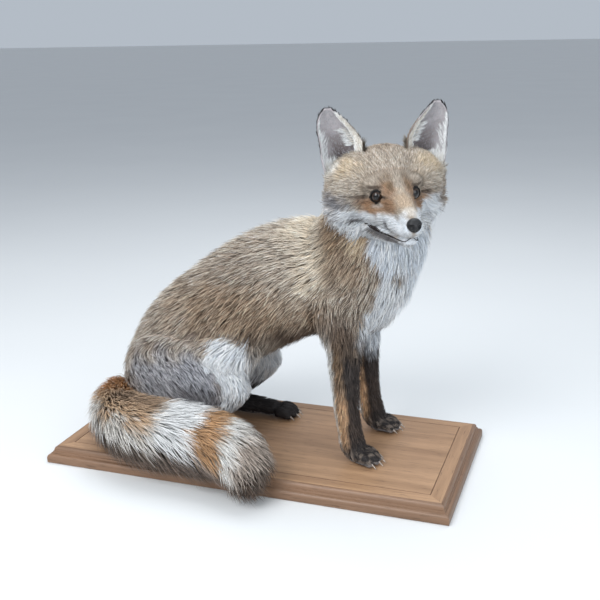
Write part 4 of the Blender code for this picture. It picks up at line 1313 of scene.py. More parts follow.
class Markings:
    """The colours of skin and coat, from named shades and spots."""

    def __init__(self) -> None:
        """Draw the noises that ruffle the edges of the markings."""
        self.coarse = Ripple(3, 0.045)
        self.fine = Ripple(4, 0.012)

    def ruffle(self, parts: Pair, coarse: np.ndarray, fine: np.ndarray) -> np.ndarray:
        """Mix the coarse and the fine ripple, each at its own rows of points."""
        return parts[0] * self.coarse(coarse) + parts[1] * self.fine(fine)

    def spotted(self, base: np.ndarray, points: np.ndarray, spots: tuple[Spot, ...],
                middle: float, ruffle: np.ndarray) -> np.ndarray:
        """Lay spots over a base shade.

        Args:
            base: ten numbers for each point.
            points: rows of places in the spots' own frame.
            spots: the spots, from the lowest to the topmost.
            middle: the second coordinate of the plane that paired spots mirror in.
            ruffle: how far noise moves an edge at each point.

        Returns:
            The shade at each point, as ten numbers.
        """
        for spot in spots:
            centre, radii = np.array(spot.centre), np.array(spot.radii)
            away = sizes_of((points - centre) / radii)
            if spot.paired:
                centre[1] = 2 * middle - centre[1]
                away = np.minimum(away, sizes_of((points - centre) / radii))
            mask = fall(1 - spot.edge, 1 + spot.edge, away + ruffle)
            laid(base, spot.shade.row(), mask * spot.strength)
        return base

    def body(self, points: np.ndarray) -> np.ndarray:
        """Shade the trunk, neck, thighs and legs.

        Args:
            points: rows of world points.

        Returns:
            The shade at each point, as ten numbers.
        """
        noise = self.ruffle(BODY_RUFFLE, points, points)
        base = np.tile(GRIZZLE.row(), (len(points), 1))
        base = self.spotted(base, points, BODY_SPOTS, MID_Y, noise)
        return self.legs(base, points, noise)

    def legs(self, base: np.ndarray, points: np.ndarray, noise: np.ndarray) -> np.ndarray:
        """Lay the black stockings over the forelegs and hind feet.

        Args:
            base: the shade so far.
            points: rows of world points.
            noise: how far an edge is moved at each point.

        Returns:
            The shade with the stockings.
        """
        x, z = points[:, 0], points[:, 2]
        rows = np.array(FORELEG)
        front = (x - np.interp(z, rows[::-1, 2], rows[::-1, 0])) / FORELEG_HALF
        low = fall(0.165, 0.225, z + 0.03 * noise) * ease(0.08, 0.10, x)
        streaks = self.fine(points * np.array((1, 1, 2.6))) + 0.3 * noise
        worn = self.fine(points * 1.7)
        for shade, mask in (
                (TAN, fall(0.11, 0.16, z)),
                (BROWN, ease(0.09, 0.16, z)),
                (CREAM, fall(-1.0, -0.62, front)),
                (UMBER, 0.55 * ease(0.15, 0.65, streaks)),
                (SOOT, 0.94 * ease(-0.20, 0.35, front + 0.9 * noise)),
                (SOOT, fall(0.042, 0.062, z + 0.01 * noise - 0.006 * front)),
                (DRAB, 0.60 * ease(-0.2, 0.6, worn) * fall(0.040, 0.052, z)),
                (PEARL, 0.55 * fall(0.0285, 0.0335, z + 0.002 * noise))):
            laid(base, shade.row(), low * mask)
        base = self.spotted(base, points, LEG_SPOTS, MID_Y, noise)
        hind = fall(0.066, 0.088, z) * fall(0.05, 0.08, x) * ease(-0.15, -0.12, x)
        laid(base, SOOT.row(), hind)
        return base

    def head(self, local: np.ndarray) -> np.ndarray:
        """Shade the head.

        Args:
            local: rows of points in the head's frame.

        Returns:
            The shade at each point, as ten numbers.
        """
        noise = self.ruffle(HEAD_RUFFLE, local * 2.2, local * 1.6)
        base = np.tile(SAND.row() * 0.55 + GRIZZLE.row() * 0.45, (len(local), 1))
        return self.spotted(base, local, HEAD_SPOTS, 0.0, noise)

    def tail(self, points: np.ndarray, share: np.ndarray, high: np.ndarray) -> np.ndarray:
        """Shade the tail, in bands across its straight length.

        Args:
            points: rows of world points.
            share: place along the tail, from 0 to 1.
            high: height over the tail's middle line, in half heights.

        Returns:
            The shade at each point, as ten numbers.
        """
        noise = self.ruffle(TAIL_RUFFLE, points, points)
        at = points[:, 0] + 0.007 * noise
        straight = ease(0.36, 0.46, share)
        left = fall(-0.115, -0.095, at)
        top = ease(0.15, 0.75, high + 0.35 * noise)
        root = fall(0.23, 0.31, share + 0.14 * (0.8 - high) + 0.03 * noise)
        base = np.tile(CREAM.row() * 0.75 + SAND.row() * 0.25, (len(points), 1))
        for shade, mask in (
                (TAWNY, 0.9 * top * left),
                (CHESTNUT, root),
                # Umber along the tail's top next to the thigh: dark hair, with painted shade between thigh and tail
                (UMBER, 0.60 * ease(0.94, 1.12, high) * ease(0.30, 0.38, share) * left),
                (WHITE, 0.5 * straight * ease(-0.108, -0.098, at)),
                (ORANGE, straight * ease(-0.050, -0.038, at) * ease(-0.9, -0.3, high)),
                (CREAM, straight * ease(-0.009, 0.002, at)),
                (DRAB, 0.95 * straight * ease(0.014, 0.038, at)),
                (UMBER, 0.65 * straight * ease(0.050, 0.078, at + 0.02 * (0.2 - high))),
                (UMBER, 0.95 * fall(-0.76, -0.34, high + 0.15 * noise))):
            laid(base, shade.row(), mask)
        return base


MARKINGS = Markings()


@dataclass(frozen=True)
class Mark:
    """How the coat lies at one place of the head: its way, length, depth and width."""

    place: Point
    way: Point
    length: float
    depth: float
    width: float
    density: float


# Lie of the head's coat, in its own frame, paired left and right
HEAD_MARKS = (
    Mark((0.060, 0.000, -0.014), (-1, 0.0, 0.25), 0.0030, 0.0009, 0.00045, 260),
    Mark((0.035, 0.000, -0.002), (-1, 0.0, 0.30), 0.0042, 0.0012, 0.00050, 230),
    Mark((0.005, 0.000, 0.012), (-0.8, 0.0, 0.6), 0.0062, 0.0020, 0.00055, 190),
    Mark((-0.020, 0.000, 0.038), (-0.8, 0.0, 0.6), 0.0095, 0.0036, 0.0006, 160),
    Mark((-0.050, 0.000, 0.052), (-1, 0.0, 0.0), 0.0125, 0.0048, 0.0007, 120),
    Mark((0.045, 0.015, -0.025), (-1, 0.15, -0.1), 0.0036, 0.0011, 0.00045, 250),
    Mark((0.015, 0.024, -0.022), (-1, 0.35, -0.25), 0.0062, 0.0020, 0.00055, 190),
    Mark((0.055, 0.012, -0.033), (-0.7, 0.4, -0.6), 0.0040, 0.0013, 0.00045, 240),
    Mark((0.000, 0.035, -0.018), (-0.8, 0.6, -0.3), 0.0075, 0.0028, 0.0006, 160),
    Mark((-0.008, 0.028, 0.014), (-0.7, 0.4, 0.6), 0.0080, 0.0027, 0.00055, 190),
    Mark((-0.030, 0.058, 0.012), (-0.8, 0.6, 0.0), 0.0150, 0.0055, 0.0007, 125),
    Mark((-0.028, 0.055, -0.020), (-0.75, 0.6, -0.3), 0.0185, 0.0080, 0.0007, 115),
    Mark((-0.050, 0.060, -0.015), (-0.50, 0.82, -0.22), 0.0320, 0.0225, 0.0008, 85),
    Mark((-0.045, 0.045, -0.048), (-0.5, 0.55, -0.65), 0.0300, 0.0150, 0.0008, 85),
    Mark((0.010, 0.028, -0.045), (-0.70, 0.20, -0.70), 0.0120, 0.0042, 0.0006, 150),
    Mark((0.045, 0.000, -0.055), (-0.6, 0.0, -0.8), 0.0110, 0.0044, 0.00055, 190),
    Mark((-0.020, 0.000, -0.070), (-0.4, 0.0, -0.9), 0.0260, 0.0110, 0.0010, 60),
    Mark((-0.085, 0.000, 0.000), (-0.8, 0.0, -0.6), 0.0280, 0.0120, 0.0011, 40),
    Mark((-0.070, 0.042, 0.030), (-0.7, 0.3, -0.6), 0.0180, 0.0080, 0.0009, 55),
    Mark((-0.036, 0.050, 0.036), (-0.5, 0.5, 0.6), 0.0115, 0.0045, 0.0007, 125),
)


# Way that hair droops, and a way that no length of the body runs along
DOWN = np.array((0.0, 0.0, -1.0))
ASKEW = np.array((0.13, 0.31, 0.94))
# Way of the hair on the back of the head, in the head's frame
NAPE_WAY = np.array((-0.6, 0.05, -0.8))
# Painted shade in the ears' hollow, and skin of the ears' front, rim and back, and of the lids and the mouth
EAR_HOLLOW_SHADE = np.array((0.044, 0.031, 0.031))
EAR_FRONT = np.array((0.160, 0.132, 0.134))
EAR_RIM = np.array((0.48, 0.445, 0.46))
EAR_BACK = np.array((0.30, 0.225, 0.16))
BLACK = np.array((0.012, 0.010, 0.010))
# Darkest and palest that hair may be
COLOUR_LIMITS = (0.004, 0.93)


class Surface:
    """The skin as a surface that hair is laid along."""

    def __init__(self, points: np.ndarray, faces: np.ndarray) -> None:
        """Index the skin's triangles."""
        self.tree = BVHTree.FromPolygons(points.tolist(), faces.tolist())

    def nearest(self, points: np.ndarray) -> np.ndarray:
        """Return the skin's nearest point to each of the given points."""
        return np.array([self.tree.find_nearest(point)[0] for point in points.tolist()])


@dataclass
class Pelt:
    """The skin's mesh as arrays, with the lie of the coat at each of its points.

    sharpness is how fast the lie changes from one length to the next, and near_mark keeps
    the head's marks from taking over beside them. No hair grows nearer to the mouth than
    mouth_bare, within nose_bare radii of the nose, above ear_bare of the ears' height, or
    under the feet up to sole over the wood.
    """

    skin: Item
    lengths: list[Length]
    sharpness: float = 7.0
    near_mark: float = 4e-5
    mouth_bare: float = 0.0024
    nose_bare: float = 1.12
    ear_bare: float = 0.02
    sole: float = 0.006
    points: np.ndarray = field(init=False)
    normals: np.ndarray = field(init=False)
    faces: np.ndarray = field(init=False)
    surface: Surface = field(init=False)
    owner: np.ndarray = field(init=False)
    share: np.ndarray = field(init=False)
    angle: np.ndarray = field(init=False)
    head_weight: np.ndarray = field(init=False)
    way: np.ndarray = field(init=False)
    sizes: np.ndarray = field(init=False)

    def __post_init__(self) -> None:
        """Read the mesh and work out the lie of the coat."""
        mesh = self.skin.data
        self.points = read_rows(mesh.vertices, "co")
        self.normals = read_rows(mesh.vertices, "normal")
        self.faces = read_rows(mesh.polygons, "vertices", int)
        self.surface = Surface(self.points, self.faces)
        self.find_lie()

    def coats(self, owners: np.ndarray) -> np.ndarray:
        """Name the coat of each number of a length."""
        return np.array([length.coat for length in self.lengths])[owners]

    def measured(self) -> tuple[np.ndarray, ...]:
        """Measure every point against the middle line of every length.

        Returns:
            The distances in radii, the places along the lengths, the angles round them and
            the headings there.
        """
        count, kinds = len(self.points), len(self.lengths)
        away, shares, angles = (np.empty((count, kinds)) for _ in range(3))
        headings = np.empty((count, kinds, 3), np.float32)
        for index, length in enumerate(self.lengths):
            places, ways, radii = length.form.line()
            gaps = np.linalg.norm(self.points[:, None, :] - places[None], axis=2) / radii
            nearest = gaps.argmin(axis=1)
            away[:, index] = gaps[np.arange(count), nearest]
            shares[:, index] = nearest / (len(places) - 1)
            headings[:, index] = ways[nearest]
            offset = self.points - places[nearest]
            aside = unit(np.cross(ways[nearest], ASKEW))
            upward = np.cross(ways[nearest], aside)
            angles[:, index] = np.arctan2((offset * upward).sum(1), (offset * aside).sum(1))
        return away, shares, angles, headings

    def find_lie(self) -> None:
        """Blend the lie of the coat from the lengths that each point is nearest to."""
        away, shares, angles, headings = self.measured()
        rows = np.arange(len(away))
        self.owner = away.argmin(axis=1)
        self.share = shares[rows, self.owner]
        self.angle = angles[rows, self.owner] / (2 * math.pi) + 0.5
        weights = np.exp(-self.sharpness * (away - away.min(axis=1, keepdims=True)))
        weights /= weights.sum(axis=1, keepdims=True)
        on_head = np.array([length.coat == "head" for length in self.lengths])
        self.head_weight = weights[:, on_head].sum(axis=1)
        self.way = np.zeros((len(rows), 3))
        self.sizes = np.zeros((len(rows), 4))
        for index in np.flatnonzero(~on_head):
            lie, weight = self.lengths[index].lie, weights[:, index:index + 1]
            fallen = DOWN * (lie.droop * (1 - self.normals[:, 2:]) / 1.4)
            self.way += (headings[:, index] * lie.way + fallen) * weight
            pairs = (lie.length, lie.depth, lie.width, lie.density)
            self.sizes += np.stack([mixed(pair, shares[:, index]) for pair in pairs], axis=1) * weight
        self.blend_head()
        self.hang_tail()
        self.way -= self.normals * (self.way * self.normals).sum(axis=1, keepdims=True)
        self.way = unit(self.way)
        self.sizes[:, 3] *= self.growth()

    def blend_head(self) -> None:
        """Add the head's lie, blended from its marks."""
        local = to_head(self.points)
        folded = np.abs(local[:, 1])
        flat = np.stack((local[:, 0], folded, local[:, 2]), axis=1)
        gaps = np.stack([((flat - np.array(mark.place)) ** 2).sum(axis=1) for mark in HEAD_MARKS],
                        axis=1)
        weights = 1 / (gaps + self.near_mark) ** 2
        weights /= weights.sum(axis=1, keepdims=True)
        way = weights @ unit(np.array([mark.way for mark in HEAD_MARKS], float))
        behind = (ease(0.0, 0.5, -(self.normals @ HEAD_TURN)[:, 0])
                  * ease(-0.034, -0.016, local[:, 2]))
        laid(way, NAPE_WAY, behind)
        way[:, 1] *= np.where(local[:, 1] < 0, -1.0, 1.0)
        sizes = weights @ np.array([(m.length, m.depth, m.width, m.density) for m in HEAD_MARKS])
        shorter = 1 - 0.45 * behind * ease(0.035, 0.060, folded)
        for eye in EYES:
            shorter *= 0.35 + 0.65 * ease(0.009, 0.022, eye.gap(local))
        shorter *= 0.22 + 0.78 * ease(0.002, 0.012, mouth_gap(local, 0.0040))
        sizes[:, :2] *= shorter[:, None]
        share = self.head_weight[:, None]
        self.way += (unit(way) @ HEAD_TURN.T) * share
        self.sizes += sizes * share

    def hang_tail(self) -> None:
        """Lengthen the fringe that hangs from the tail's outer and lower side."""
        on_tail = self.coats(self.owner) == "tail"
        level = self.normals[:, 2]
        outer = on_tail * ease(-0.1, 0.8, -self.normals[:, 1]) * fall(-0.2, 0.7, level)
        lower = on_tail * fall(-0.35, 0.75, level) * fall(0.68, 0.86, self.share)
        end = on_tail * ease(0.84, 1.0, self.share)
        self.way[:, 2] -= 0.9 * lower + 0.35 * end
        self.sizes[:, 0] *= 1 + 0.50 * outer + 0.50 * lower + 0.30 * end
        self.sizes[:, 1] *= 1 + 0.10 * outer

    def growth(self) -> np.ndarray:
        """Find where hair grows.

        Returns:
            1 for each point with hair, and 0 on ears, eyes, nose, lips and under the feet.
        """
        local = to_head(self.points)
        nose = sizes_of((local - np.array(NOSE_CENTRE)) / np.array(NOSE_RADII))
        bare = (mouth_gap(local, 0.0028) < self.mouth_bare) | (nose < self.nose_bare)
        for eye in EYES:
            bare |= eye.bare(local)
        for ear in EARS:
            bare |= (ear.places_of(local)[0] > self.ear_bare) & (self.head_weight > 0.5)
        high = self.points[:, 2]
        bare |= (self.normals[:, 2] < -0.5) & (high < STANDING + self.sole)
        return np.where(bare | (high < STANDING), 0.0, 1.0)

    @staticmethod
    def ear_colour(high: np.ndarray, outer: np.ndarray, inside: np.ndarray) -> np.ndarray:
        """Colour the skin of an ear, with painted shade low in its hollow.

        Args:
            high: place up the ear.
            outer: place toward the edge away from the other ear.
            inside: whether a point is on the open front.

        Returns:
            The colour of each point.
        """
        front, back = (np.tile(colour, (len(high), 1)) for colour in (EAR_FRONT, EAR_BACK))
        laid(front, EAR_RIM, np.maximum(ease(0.42, 0.85, high), ease(0.15, 0.85, outer)))
        # Painted shade low in the hollow of the ear's open front
        laid(front, EAR_HOLLOW_SHADE, fall(0.20, 0.48, high) * fall(-0.1, 0.7, outer))
        laid(back, BLACK * 1.6, np.maximum(ease(0.80, 0.90, high), ease(0.35, 0.65, outer)))
        return np.where(inside[:, None], front, back)

    def paint(self) -> None:
        """Write the markings, with their painted shade, on the skin as a colour attribute."""
        local, on_head = to_head(self.points), self.head_weight > 0.5
        on_tail = self.coats(self.owner) == "tail"
        shade = MARKINGS.body(self.points)
        shade[on_head] = MARKINGS.head(local[on_head])
        shade[on_tail] = MARKINGS.tail(self.points[on_tail], self.share[on_tail],
                                       np.zeros(on_tail.sum()))
        colour = shade[:, 0:3] * 0.55 + shade[:, 3:6] * 0.45
        for ear in EARS:
            high, outer = ear.places_of(local)
            inside = (self.normals @ HEAD_TURN) @ ear.axes()[3] > 0.0
            laid(colour, self.ear_colour(high, outer, inside), ease(0.07, 0.16, high) * on_head)
        for eye in EYES:
            for mask in eye.black(local):
                laid(colour, BLACK, mask)
        laid(colour, BLACK, fall(0.0010, 0.0022, mouth_gap(local, 0.0024)))
        write_colours(self.skin.data, colour)

    def scatter(self, share: float, seed: int) -> "Roots":
        """Choose the roots of the tufts, evenly by density over the skin.

        Args:
            share: share of the full number of tufts.
            seed: seed of the draws.

        Returns:
            The roots with all that the coat needs there.
        """
        rng = np.random.default_rng(seed)
        corners = self.points[self.faces]
        area = sizes_of(np.cross(corners[:, 1] - corners[:, 0],
                                 corners[:, 2] - corners[:, 0])) / 2 * 1e4
        wanted = np.cumsum(area * self.sizes[:, 3][self.faces].mean(axis=1) * share)
        count = int(wanted[-1])
        chosen = np.searchsorted(wanted, (np.arange(count) + rng.random(count)) * wanted[-1] / count)
        chosen = np.minimum(chosen, len(self.faces) - 1)
        a, b = rng.random(count), rng.random(count)
        flip = a + b > 1
        a, b = np.where(flip, 1 - a, a), np.where(flip, 1 - b, b)
        parts = np.stack((1 - a - b, a, b), axis=1)[:, :, None]
        face = self.faces[chosen]
        place, way, out, sizes = ((values[face] * parts).sum(axis=1) for values in
                                  (self.points, self.way, self.normals, self.sizes))
        first = face[:, 0]
        return Roots(place, unit(way), unit(out), *sizes[:, :3].T, self.owner[first],
                     self.share[first], self.angle[first])


@dataclass
class Roots:
    """Where tufts grow: place, way and outward, sizes, and place on the skin's own map."""

    place: np.ndarray
    way: np.ndarray
    out: np.ndarray
    length: np.ndarray
    depth: np.ndarray
    width: np.ndarray
    owner: np.ndarray
    share: np.ndarray
    angle: np.ndarray

    def taken(self, chosen: np.ndarray) -> "Roots":
        """Return some of the roots, by a mask or by their numbers."""
        return Roots(*(getattr(self, name)[chosen] for name in self.__dataclass_fields__))

    @classmethod
    def gathered(cls, parts: list["Roots"]) -> "Roots":
        """Join several sets of roots in one."""
        return cls(*(np.concatenate([getattr(part, name) for part in parts])
                     for name in cls.__dataclass_fields__))

    def __len__(self) -> int:
        """Return the number of roots."""
        return len(self.place)


Shades = Callable[[np.ndarray, Roots], np.ndarray]


def kept_clear(points: np.ndarray) -> np.ndarray:
    """Lift points out of the plinth, and off the floor in front of it.

    Args:
        points: rows of world points, which are changed.

    Returns:
        The same rows.
    """
    x, y, z = points.T
    low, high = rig.box("stand_plinth")
    inside = (x > low.x) & (x < high.x) & (y > low.y - 0.001) & (y < high.y)
    points[:, 2] = np.maximum(z, np.where(inside, high.z + HAIR_CLEAR, HAIR_FLOOR))
    return points


@dataclass
class Tufts:
    """A joined mesh of thin, closed, tapered tufts.

    follow is how closely the tufts keep to the skin's own curves, from 0 to 1, and clump the
    number of tufts that lean together by the share pull. sway is the spread of their ways,
    of which each tuft adds own_sway, and the pairs of unevenness are the spreads of length
    by clump and by tuft. A tuft's root is sunk into the skin, its width tapers from ring to
    ring, and thick is its half thickness in half widths. softness is how far its normals
    turn to the skin's.
    """

    name: str
    kind: Kind
    seed: int
    surface: Surface | None = None
    follow: float = 1.0
    clump: int = 4
    pull: float = 0.22
    sway: float = 0.13
    own_sway: float = 0.6
    uneven: Pair = (0.13, 0.09)
    length_limits: Pair = (0.55, 1.4)
    uneven_lift: float = 0.15
    lift_limits: Pair = (0.35, 1.35)
    bend: float = 0.07
    sink: float = 0.0010
    softness: float = 0.64
    taper: Point = (1.0, 0.86, 0.62)
    thick: float = 1.1

    def build(self, roots: Roots, shades: Shades, strips: int = 1) -> Item:
        """Shape and colour the tufts.

        Args:
            roots: where the tufts grow.
            shades: gives ten numbers of shade for each tuft, from a point on it.
            strips: the number of strips that the bake's map is divided into.

        Returns:
            The tufts as one object.
        """
        rng = np.random.default_rng(self.seed)
        count, rings = len(roots), self.kind.value
        seeds, lead = self.clumps(roots, rng)
        side = unit(np.cross(roots.way, roots.out))
        swing = (rng.normal(0, self.sway, len(seeds))[lead]
                 + rng.normal(0, self.sway * self.own_sway, count))
        way = unit(roots.way + side * swing[:, None])
        side = unit(np.cross(way, roots.out))
        uneven = (1 + self.uneven[0] * rng.normal(size=len(seeds))[lead]
                  + self.uneven[1] * rng.normal(size=count))
        length = roots.length * np.clip(uneven, *self.length_limits)
        lift = roots.depth * np.clip(1 + self.uneven_lift * rng.normal(size=count),
                                     *self.lift_limits)
        bend = rng.normal(0, self.bend, count) * length
        toward = (roots.place[seeds][lead] - roots.place) * self.pull
        lines, normals = [], []
        for step, at in enumerate(np.linspace(0, 1, rings + 1)):
            rise = lift * (1 - (1 - at) ** 2) - self.sink * (step == 0)
            level = (roots.place + way * (length * at)[:, None] + side * (bend * at * at)[:, None]
                     + toward * at ** 1.4)
            if step and self.surface:
                level += (self.surface.nearest(level) - level) * self.follow
            centre = level + roots.out * rise[:, None]
            if step == rings:
                lines.append(centre[:, None, :])
                normals.append(unit(roots.out + way * 0.3)[:, None, :])
                continue
            half = (roots.width / 2 * self.taper[step])[:, None]
            corners = (side * half, roots.out * half * self.thick, -side * half)
            lines.append(np.stack([centre + corner for corner in corners], axis=1))
            normals.append(np.stack([unit(corner) * (1 - self.softness) + roots.out * self.softness
                                     for corner in corners], axis=1))
        verts = kept_clear(np.concatenate(lines, axis=1).reshape(-1, 3))
        seen = roots.place + way * (length * 0.6)[:, None] + roots.out * roots.depth[:, None]
        colours = self.colours(shades(seen, roots), rng, lead, len(seeds))
        return self.write(verts, unit(np.concatenate(normals, axis=1).reshape(-1, 3)), colours,
                          roots, strips)

    def clumps(self, roots: Roots, rng: np.random.Generator) -> tuple[np.ndarray, np.ndarray]:
        """Choose the leading tuft of each clump.

        Args:
            roots: where the tufts grow.
            rng: the source of the draws.

        Returns:
            The numbers of the leading tufts, and the place in them of each tuft's nearest one.
        """
        count = len(roots)
        seeds = np.sort(rng.choice(count, max(1, count // self.clump), replace=False))
        tree = KDTree(len(seeds))
        for index, point in enumerate(roots.place[seeds]):
            tree.insert(point, index)
        tree.balance()
        return seeds, np.array([tree.find(point)[1] for point in roots.place], int)

    def colours(self, shade: np.ndarray, rng: np.random.Generator, lead: np.ndarray,
                clumps: int) -> np.ndarray:
        """Colour every corner of the tufts.

        Args:
            shade: ten numbers for each tuft.
            rng: the source of the draws.
            lead: the clump of each tuft.
            clumps: the number of clumps.

        Returns:
            One row of colour for each corner.
        """
        rings = self.kind.value
        root, middle, tip = shade[:, 0:3], shade[:, 3:6], shade[:, 6:9]
        light = np.exp(0.13 * rng.normal(size=clumps)[lead] + 0.19 * rng.normal(size=len(lead)))
        shadow = (rng.random(len(lead)) < shade[:, 9])[:, None]
        tip = np.where(shadow, DARK_TIP + 0.12 * tip, tip)
        middle = np.where(shadow, middle * 0.62, middle)
        if self.kind is Kind.SPIKE:
            root, tip = root + (middle - root) * 0.65, middle + (tip - middle) * 0.40
        rows = []
        for at in (step / rings for step in range(rings)):
            if at > 0.5:
                rows += [middle + (tip - middle) * (at * 2 - 1)] * 3
            else:
                rows += [root + (middle - root) * at * 2] * 3
        stacked = np.stack(rows + [tip], axis=1) * light[:, None, None]
        return np.clip(stacked, *COLOUR_LIMITS).reshape(-1, 3)

    def pattern(self) -> np.ndarray:
        """List the triangles of one tuft.

        Returns:
            The numbers of three corners for each.
        """
        made = [(0, 1, 2)]
        last = 3 * (self.kind.value - 1)
        for low in range(0, last, 3):
            for corner in range(3):
                here, after = low + corner, low + (corner + 1) % 3
                made += [(here, here + 3, after + 3), (here, after + 3, after)]
        made += [(last + corner, last + 3, last + (corner + 1) % 3) for corner in range(3)]
        return np.array(made)

    def write(self, verts: np.ndarray, normals: np.ndarray, colours: np.ndarray, roots: Roots,
              strips: int) -> Item:
        """Write the tufts to a mesh.

        Args:
            verts: one row for each corner.
            normals: the outward way of each corner.
            colours: the colour of each corner.
            roots: where the tufts grow.
            strips: the number of strips that the bake's map is divided into.

        Returns:
            The object.
        """
        starts = np.arange(len(roots)) * self.kind.corners()
        faces = (self.pattern()[None] + starts[:, None, None]).reshape(-1, 3)
        mesh = bpy.data.meshes.new(self.name)
        mesh.vertices.add(len(verts))
        mesh.vertices.foreach_set("co", verts.astype(np.float32).ravel())
        mesh.loops.add(faces.size)
        mesh.loops.foreach_set("vertex_index", faces.astype(np.int32).ravel())
        mesh.polygons.add(len(faces))
        mesh.polygons.foreach_set("loop_start", np.arange(0, faces.size, 3, dtype=np.int32))
        mesh.update(calc_edges=True)
        mesh.polygons.foreach_set("use_smooth", np.ones(len(faces), bool))
        write_colours(mesh, colours)
        self.map_patches(mesh, faces, roots, strips)
        mesh.normals_split_custom_set_from_vertices(normals.astype(np.float32))
        log.info("%s: %d tufts, %d triangles", self.name, len(roots), len(faces))
        return linked(self.name, mesh)

    def map_patches(self, mesh: bpy.types.Mesh, faces: np.ndarray, roots: Roots,
                    strips: int) -> None:
        """Give each tuft a small patch of the bake's map at its root's place on the skin.

        Args:
            mesh: the tufts' mesh.
            faces: its triangles.
            roots: where the tufts grow.
            strips: the number of strips that the map is divided into.
        """
        rings = self.kind.value
        across = (roots.owner % strips + 0.02 + 0.95 * roots.angle) / strips
        along = 0.01 + 0.97 * roots.share
        offsets = [(corner / 2, step / rings) for step in range(rings) for corner in range(3)]
        offsets = np.array(offsets + [(0.5, 1.0)]) * BAKE_PATCH
        spread = (np.stack((across, along), axis=1)[:, None, :] + offsets[None]).reshape(-1, 2)
        layer = mesh.uv_layers.new(name=BAKE_MAP)
        layer.data.foreach_set("uv", spread[faces.ravel()].astype(np.float32).ravel())


@dataclass(frozen=True)
class Patch:
    """A patch of an ear that hair grows on.

    count is its number of tufts. across and up are its ranges, where 1 across is the edge
    away from the other ear, and face is 1 for the open front and -1 for the back. way is how
    far the hair runs across and up, and sizes are the length, depth and width of a tuft.
    """

    count: int
    across: Pair
    up: Pair
    face: int
    way: Pair
    sizes: Point
    seed: int


# Fur of the ears' back, the fringes in front, and the thin down inside
EAR_BACK_FUR = (
    Patch(3600, (-1, 1), (0.02, 0.97), -1, (0.0, 1.0), (0.0050, 0.0008, 0.0008), 41),
    Patch(420, (-1.0, -0.88), (0.02, 0.46), -1, (-0.45, 0.9), (0.0100, 0.0034, 0.0006), 42),
)
EAR_FRINGES = (
    Patch(1500, (-1.0, -0.70), (0.00, 0.90), 1, (0.12, 1.0), (0.0080, 0.0018, 0.0006), 43),
    Patch(170, (-0.82, -0.50), (0.44, 0.70), 1, (1.0, 0.05), (0.0110, 0.0030, 0.0005), 44),
    Patch(420, (-1.0, -0.60), (-0.02, 0.22), 1, (0.3, 1.0), (0.0120, 0.0036, 0.0007), 45),
    Patch(260, (0.92, 1.0), (0.02, 0.78), 1, (-0.20, 1.0), (0.0070, 0.0014, 0.0004), 47),
    Patch(150, (0.72, 1.0), (0.00, 0.62), 1, (-0.45, 1.0), (0.0095, 0.0018, 0.0004), 48),
    Patch(950, (-1.0, 1.0), (-0.08, 0.07), 1, (0.05, 1.0), (0.0150, 0.0050, 0.0007), 49),
    Patch(480, (0.30, 1.0), (0.00, 0.20), 1, (0.10, 1.0), (0.0120, 0.0030, 0.0006), 50),
)
EAR_DOWN = (Patch(1500, (-0.8, 0.85), (0.26, 0.95), 1, (0.35, 0.9), (0.0042, 0.0006, 0.0004), 51),)
# Width of one face of an ear on the bake's map, and where the front starts
EAR_MAP_WIDTH = 0.45
EAR_MAP_FRONT = 0.5


